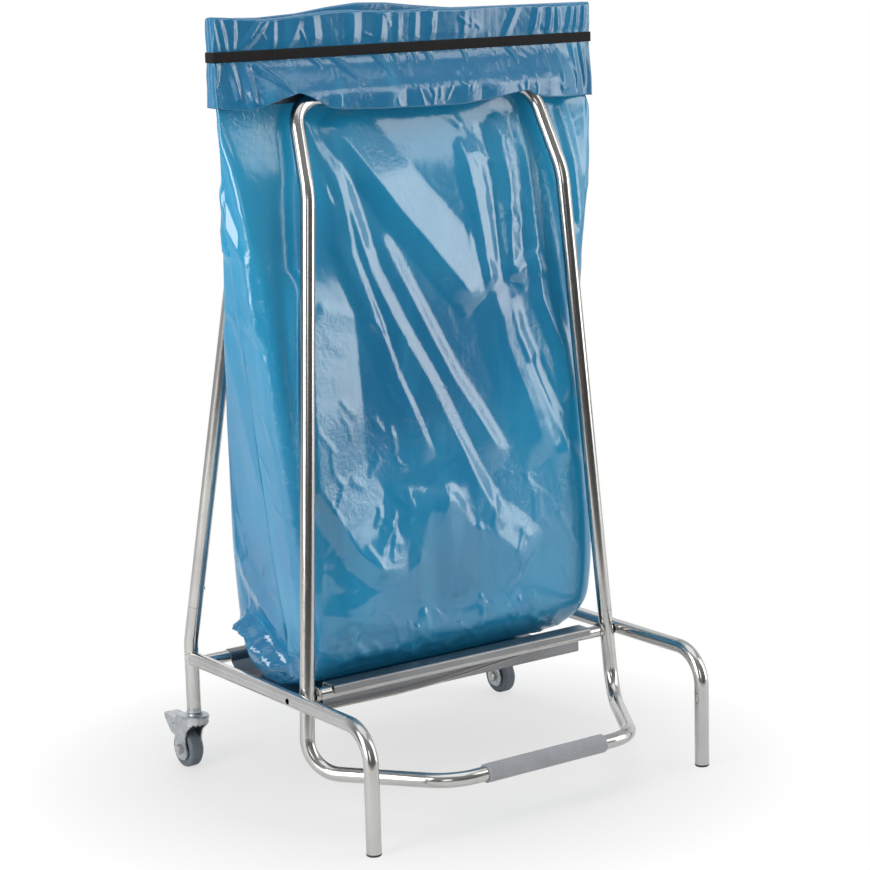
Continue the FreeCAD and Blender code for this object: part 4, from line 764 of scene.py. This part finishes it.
def collar_strip(x, front):
    """One side of the collar over the given X, from the mouth up over the jaw and down to the hem:
    X, forward reach and height of each row."""
    top = table_at(x, COLLAR_TOP if front else REAR_TOP)
    hem = table_at(x, COLLAR_HEM if front else REAR_HEM)
    inside, outside, bar_axis = FRONT_REACH if front else REAR_REACH
    out = 1 if front else -1
    bar = bar_axis + out * BAR_CLEARANCE
    hooped = 1 - soft(np.abs(x), *HOOP_CORNERS)
    skirt = outside + (bar - outside) * (SKIRT_SHARE + (1 - SKIRT_SHARE) * hooped)
    share = np.linspace(0, 1, COLLAR_ROWS)[:, None]
    lip = top - LIP_RISE

    climb = MOUTH_FOOT + (lip - MOUTH_FOOT) * share / INNER_SHARE
    turn = np.clip((share - INNER_SHARE) / (FOLD_SHARE - INNER_SHARE), 0, 1) * math.pi
    down = share >= FOLD_SHARE
    height = lip + (hem - lip) * np.clip((share - FOLD_SHARE) / (1 - FOLD_SHARE), 0, 1)
    flare = soft(BAND_LOW - height, *SKIRT_FLARE)
    puff = PUFF * soft(height, BAND_HIGH, BAND_HIGH + PUFF_EASE) * (0.6 + 0.4 * np.sin(x * PUFF_PITCH))
    z = np.where(down, height, np.where(share < INNER_SHARE, climb, lip + LIP_RISE * np.sin(turn)))
    forward = np.where(down, outside + (skirt - outside) * flare + out * puff,
                       inside + (outside - inside) * (1 - np.cos(turn)) / 2)

    x = np.repeat(x, COLLAR_ROWS, axis=0)
    wave = sum(rise * np.sin(x * pitch + phase) for rise, pitch, phase in SKIRT_WAVES)
    relief = pleats(x, z, top) + (SKIRT_RISE + np.abs(wave)) * soft(BAND_LOW - z, *LOOSE)
    crumpled = crumple(x, z, *(FRONT_COLLAR_CRUMPLES if front else REAR_COLLAR_CRUMPLES))
    relief += crumpled * (np.abs(z - (BAND_LOW + BAND_HIGH) / 2) > BAND_GRIP)
    return np.stack((x, forward + out * relief * down, z))


def collar_end(side, first, last):
    """Gathered end of the collar on one side, between two columns of X, forward reach and height."""
    turn = np.linspace(0, math.pi, COLLAR_END_COLUMNS + 2)[1:-1]
    start, step = first[1:, :, None], (last - first)[1:, :, None]
    forward, z = start + step * (1 - np.cos(turn)) / 2
    bulge = np.minimum(np.abs(step[0]) * 0.5, END_BULGE) * np.sin(turn)
    rise, pitch, sway, sway_pitch = END_RIPPLE
    ripple = rise * np.sin(forward * pitch + sway * np.sin(z * sway_pitch)) * np.sin(turn)
    return np.stack((side * (COLLAR_HALF_LENGTH + bulge + ripple), forward, z))


def collar(material):
    """Closed loop of turned-down film round both jaws, its ends gathered."""
    along = np.linspace(-COLLAR_HALF_LENGTH, COLLAR_HALF_LENGTH, COLLAR_COLUMNS)
    front = collar_strip(along[None, :], True)
    rear = collar_strip(along[None, ::-2], False)
    right_end = collar_end(1, front[:, :, -1], rear[:, :, 0])
    left_end = collar_end(-1, rear[:, :, -1], front[:, :, 0])
    x, forward, z = np.concatenate((front, right_end, rear, left_end), axis=2)
    piece = grid_mesh("bag_collar", x, behind(forward), z, closed=True, turned=True)
    thicken(piece)
    return finished(piece, material)


# Elastic band
BAND_HALF_LENGTH = 0.2945
BAND_FRONT = 0.1735
BAND_REAR = 0.1535
BAND_WALL = 0.0012
BAND_RADIUS = 0.0035
# points of each run and corner along the band, and round its section
BAND_COUNTS = (60, 7, 12, 7, 120, 7, 12, 7, 60)
BAND_SECTION_POINTS = 24
# how square the section is, across the width and through the wall
BAND_SQUARE_WIDTH = 0.35
BAND_SQUARE_WALL = 0.6
WELD_REACH = 1e-6


def elastic_band(material):
    """Flat band round the collar, crowned across its width, with a map for its weave."""
    corners = [np.array(place)[:, None] for place in (
        (0.0, BAND_FRONT), (BAND_HALF_LENGTH, BAND_FRONT), (BAND_HALF_LENGTH, BAND_REAR),
        (-BAND_HALF_LENGTH, BAND_REAR), (-BAND_HALF_LENGTH, BAND_FRONT), (0.0, BAND_FRONT))]
    path = rounded_path(corners, (BAND_RADIUS,) * 4, BAND_COUNTS)[:, 0, :-1]
    tangent = np.roll(path, -1, axis=1) - np.roll(path, 1, axis=1)
    tangent /= np.linalg.norm(tangent, axis=0)
    inward = np.stack((-tangent[1], tangent[0]))
    if (inward * (path - np.array((0.0, GUSSET_FORWARD))[:, None])).sum(0).mean() > 0:
        inward = -inward
    half_wall = BAND_WALL / 2
    around = np.linspace(0, 2 * math.pi, BAND_SECTION_POINTS + 1)
    around[-1] = 0.0
    across, through = np.sin(around), np.cos(around)
    up = (BAND_HIGH - BAND_LOW) / 2 * np.sign(across) * np.abs(across) ** BAND_SQUARE_WIDTH
    out = half_wall * np.sign(through) * np.abs(through) ** BAND_SQUARE_WALL
    x, forward = path[:, None, :] + inward[:, None, :] * (half_wall - out)[:, None]
    z = np.repeat(((BAND_HIGH + BAND_LOW) / 2 + up)[:, None], path.shape[1], axis=1)
    piece = grid_mesh("mouth_band", x, behind(forward), z, closed=True)
    map_band(piece, path)
    weld = piece.modifiers.new("weld", "WELD")
    weld.merge_threshold = WELD_REACH
    apply_modifiers(piece)
    return finished(piece, material)


def map_band(piece, path):
    """Map of the band: metres along it, and the share of its width."""
    length = np.concatenate(([0], np.cumsum(np.hypot(*np.diff(path, axis=1)))))
    layer = piece.data.uv_layers.new(name="length")
    columns = path.shape[1]
    for polygon in piece.data.polygons:
        places = [vertex % columns for vertex in polygon.vertices]
        seam = 0 in places and columns - 1 in places
        for loop, vertex, place in zip(polygon.loop_indices, polygon.vertices, places):
            along = length[-1] * (1 + 1 / columns) if seam and place == 0 else length[place]
            over = (piece.data.vertices[vertex].co.z - BAND_LOW) / (BAND_HIGH - BAND_LOW)
            layer.data[loop].uv = (along, over)


# Stage

# level direction from the camera towards the backdrop, and where along it the room turns into the backdrop
BACKDROP_SIDE = (0.575, 0.818, 0.0)
BACKDROP_TURN = (-0.15, 0.30)
# heights between which the walls turn into the ceiling
CEILING_TURN = (0.15, 0.90)
ROOM_LEVEL = 0.16
BACKDROP_LEVEL = 1.0
CEILING_LEVEL = 0.40
ROOM_COLOUR = (0.95, 0.98, 1.0, 1.0)
WHITE = (1.0, 1.0, 1.0, 1.0)
# the floor is a disc; a soft shade lies under the stand, partly its real shading and partly a painted shade
# of dimmer white, and the rest is white to the camera
FLOOR_RADIUS = 9.0
FLOOR_CORNERS = 96
SHADE_CENTRE = (-0.02, 0.03, 0.0)
SHADE_INNER = 0.30
SHADE_OUTER = 0.52
# share of plain white in the shade, and its brightness there, dimmed as painted shade
SHADE_WHITE = 0.74
SHADE_LEVEL = 0.84
PAPER = (0.92, 0.92, 0.915)
DARK_FLOOR = (0.06, 0.06, 0.06)
# level direction in which the paper ends, and its reach; beyond it the floor of the room is dark
PAPER_SIDE = (-0.447, -0.8945, 0.0)
PAPER_REACH = 0.72
PAPER_FADE = 0.25
WARM = (1.0, 0.975, 0.94)
NEUTRAL = (1.0, 1.0, 1.0)
# Softboxes: name, place, aim, width, height, radiance, colour
SOFTBOXES = (
    ("key", (2.3, -1.75, 1.05), (0.0, 0.0, 0.55), 1.3, 2.0, 3.5, WARM),
    ("upper", (1.62, -1.93, 2.36), (0.0, 0.0, 0.80), 0.8, 0.8, 2.6, WARM),
    ("side", (-2.6, -0.4, 1.2), (0.0, 0.0, 0.6), 1.2, 2.2, 6.6, WARM),
    ("front", (-2.1, -3.0, 1.1), (0.0, 0.0, 0.55), 1.0, 1.3, 1.8, WARM),
    ("top", (0.2, -0.2, 3.2), (0.0, 0.0, 0.0), 3.0, 3.0, 1.0, NEUTRAL),
    ("back", (0.6, 3.0, 1.8), (0.0, 0.0, 0.5), 2.4, 1.6, 0.5, NEUTRAL),
)


def softbox(name, place, aim, width, height, radiance, colour):
    """Soft studio light of an even brightness, unseen by the camera."""
    data = bpy.data.lights.new(name, "AREA")
    data.shape = "RECTANGLE"
    data.size, data.size_y = width, height
    data.energy = radiance * math.pi * width * height
    data.color = colour
    lamp = bpy.data.objects.new(name, data)
    lamp.location = place
    lamp.rotation_euler = (Vector(aim) - Vector(place)).to_track_quat("-Z", "Y").to_euler()
    lamp.visible_camera = False
    bpy.context.scene.collection.objects.link(lamp)


def make_world():
    """White to the camera; to all else a dim room before the stand and a pale backdrop behind it."""
    world = bpy.data.worlds.new("studio")
    bpy.context.scene.world = world
    world.use_nodes = True
    sky = Nodes(world.node_tree)
    direction = sky.node("ShaderNodeTexCoord")
    height = sky.node("ShaderNodeSeparateXYZ", None, {0: direction}).part("Z")
    behind_stand = sky.measured("DOT_PRODUCT", direction, BACKDROP_SIDE).spread(*BACKDROP_TURN)
    walls = behind_stand * (BACKDROP_LEVEL - ROOM_LEVEL) + ROOM_LEVEL
    level = walls + height.spread(*CEILING_TURN) * (CEILING_LEVEL - walls)
    room = sky.node("ShaderNodeBackground", None, {"Color": ROOM_COLOUR, "Strength": level})
    plain = sky.node("ShaderNodeBackground", None, {"Color": WHITE})
    seen = sky.node("ShaderNodeLightPath").part("Is Camera Ray")
    sky.end(sky.node("ShaderNodeMixShader", None, {0: seen, 1: room, 2: plain}), "World Output")


def make_floor():
    """Plain pale floor that fades into the white backdrop; under the stand the camera sees a painted shade
    of dimmer white over a share of the real shading.
    """
    bpy.ops.mesh.primitive_circle_add(vertices=FLOOR_CORNERS, radius=FLOOR_RADIUS, fill_type="NGON",
                                      location=(0, 0, 0))
    floor = bpy.context.active_object
    floor.name = "floor"
    paper = Finish("floor_paper", roughness=0.85)
    away = paper.measured("DOT_PRODUCT", paper.place(), PAPER_SIDE)
    bare = away.spread(PAPER_REACH, PAPER_REACH + PAPER_FADE)
    paper.set(Base_Color=paper.mix(bare, PAPER, DARK_FLOOR))
    clear = paper.measured("DISTANCE", paper.place(), SHADE_CENTRE).spread(SHADE_INNER, SHADE_OUTER)
    # painted shade: the white that the camera sees is dimmer near the stand
    level = clear * (1 - SHADE_LEVEL) + SHADE_LEVEL
    white = paper.node("ShaderNodeEmission", None, {"Color": WHITE, "Strength": level})
    seen = paper.node("ShaderNodeLightPath").part("Is Camera Ray")
    share = (clear * (1 - SHADE_WHITE) + SHADE_WHITE) * seen
    lit = Wire(paper, paper.shader.outputs["BSDF"])
    paper.end(paper.node("ShaderNodeMixShader", None, {0: share, 1: lit, 2: white}), "Material Output")
    floor.data.materials.append(paper.material)


# Assembly

def dress_frame():
    """Gives each carried-over node the finish of its slot."""
    finishes = {
        "polished_tube": polished_tube(),
        "sheet_steel": sheet_steel(),
        "wire_steel": drawn_wire(),
        "screw_steel": screw_steel(),
        "black_plastic": moulded("black_plastic", (0.018, 0.018, 0.019), (0.030, 0.030, 0.032), 0.50),
        "grey_sleeve": moulded("grey_sleeve", (0.36, 0.37, 0.40), (0.30, 0.31, 0.335), 0.42,
                               grain_scale=700.0, grain=0.06),
        "zinc_steel": zinc_steel(),
        "axle_steel": axle_steel(),
        "grey_core": moulded("grey_core", (0.17, 0.20, 0.235), (0.13, 0.155, 0.185), 0.45),
        "grey_tyre": moulded("grey_tyre", (0.12, 0.145, 0.17), (0.09, 0.11, 0.13), 0.58,
                             grain_scale=600.0, grain=0.14),
    }
    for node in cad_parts.values():
        for slot in node.material_slots:
            if slot.material and slot.material.name in finishes:
                slot.material = finishes[slot.material.name]


def ride_both(piece, node):
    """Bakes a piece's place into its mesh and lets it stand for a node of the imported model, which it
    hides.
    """
    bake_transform(piece)
    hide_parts(node)


bpy.context.scene.view_settings.view_transform = "Standard"
make_camera()
make_world()
for box in SOFTBOXES:
    softbox(*box)
make_floor()
dress_frame()

film = blue_film("bag_film", crinkle=1.0, deep_share=0.38, coat=0.30)
collar_film = blue_film("collar_film", crinkle=1.2, deep_share=0.62, coat=0.10)
ride_both(bag_piece("bag_front", True, film), "bag")
ride_both(bag_piece("bag_rear", False, film), "bag")
ride_both(collar(collar_film), "bag")
ride_both(elastic_band(woven_elastic()), "elastic_band")
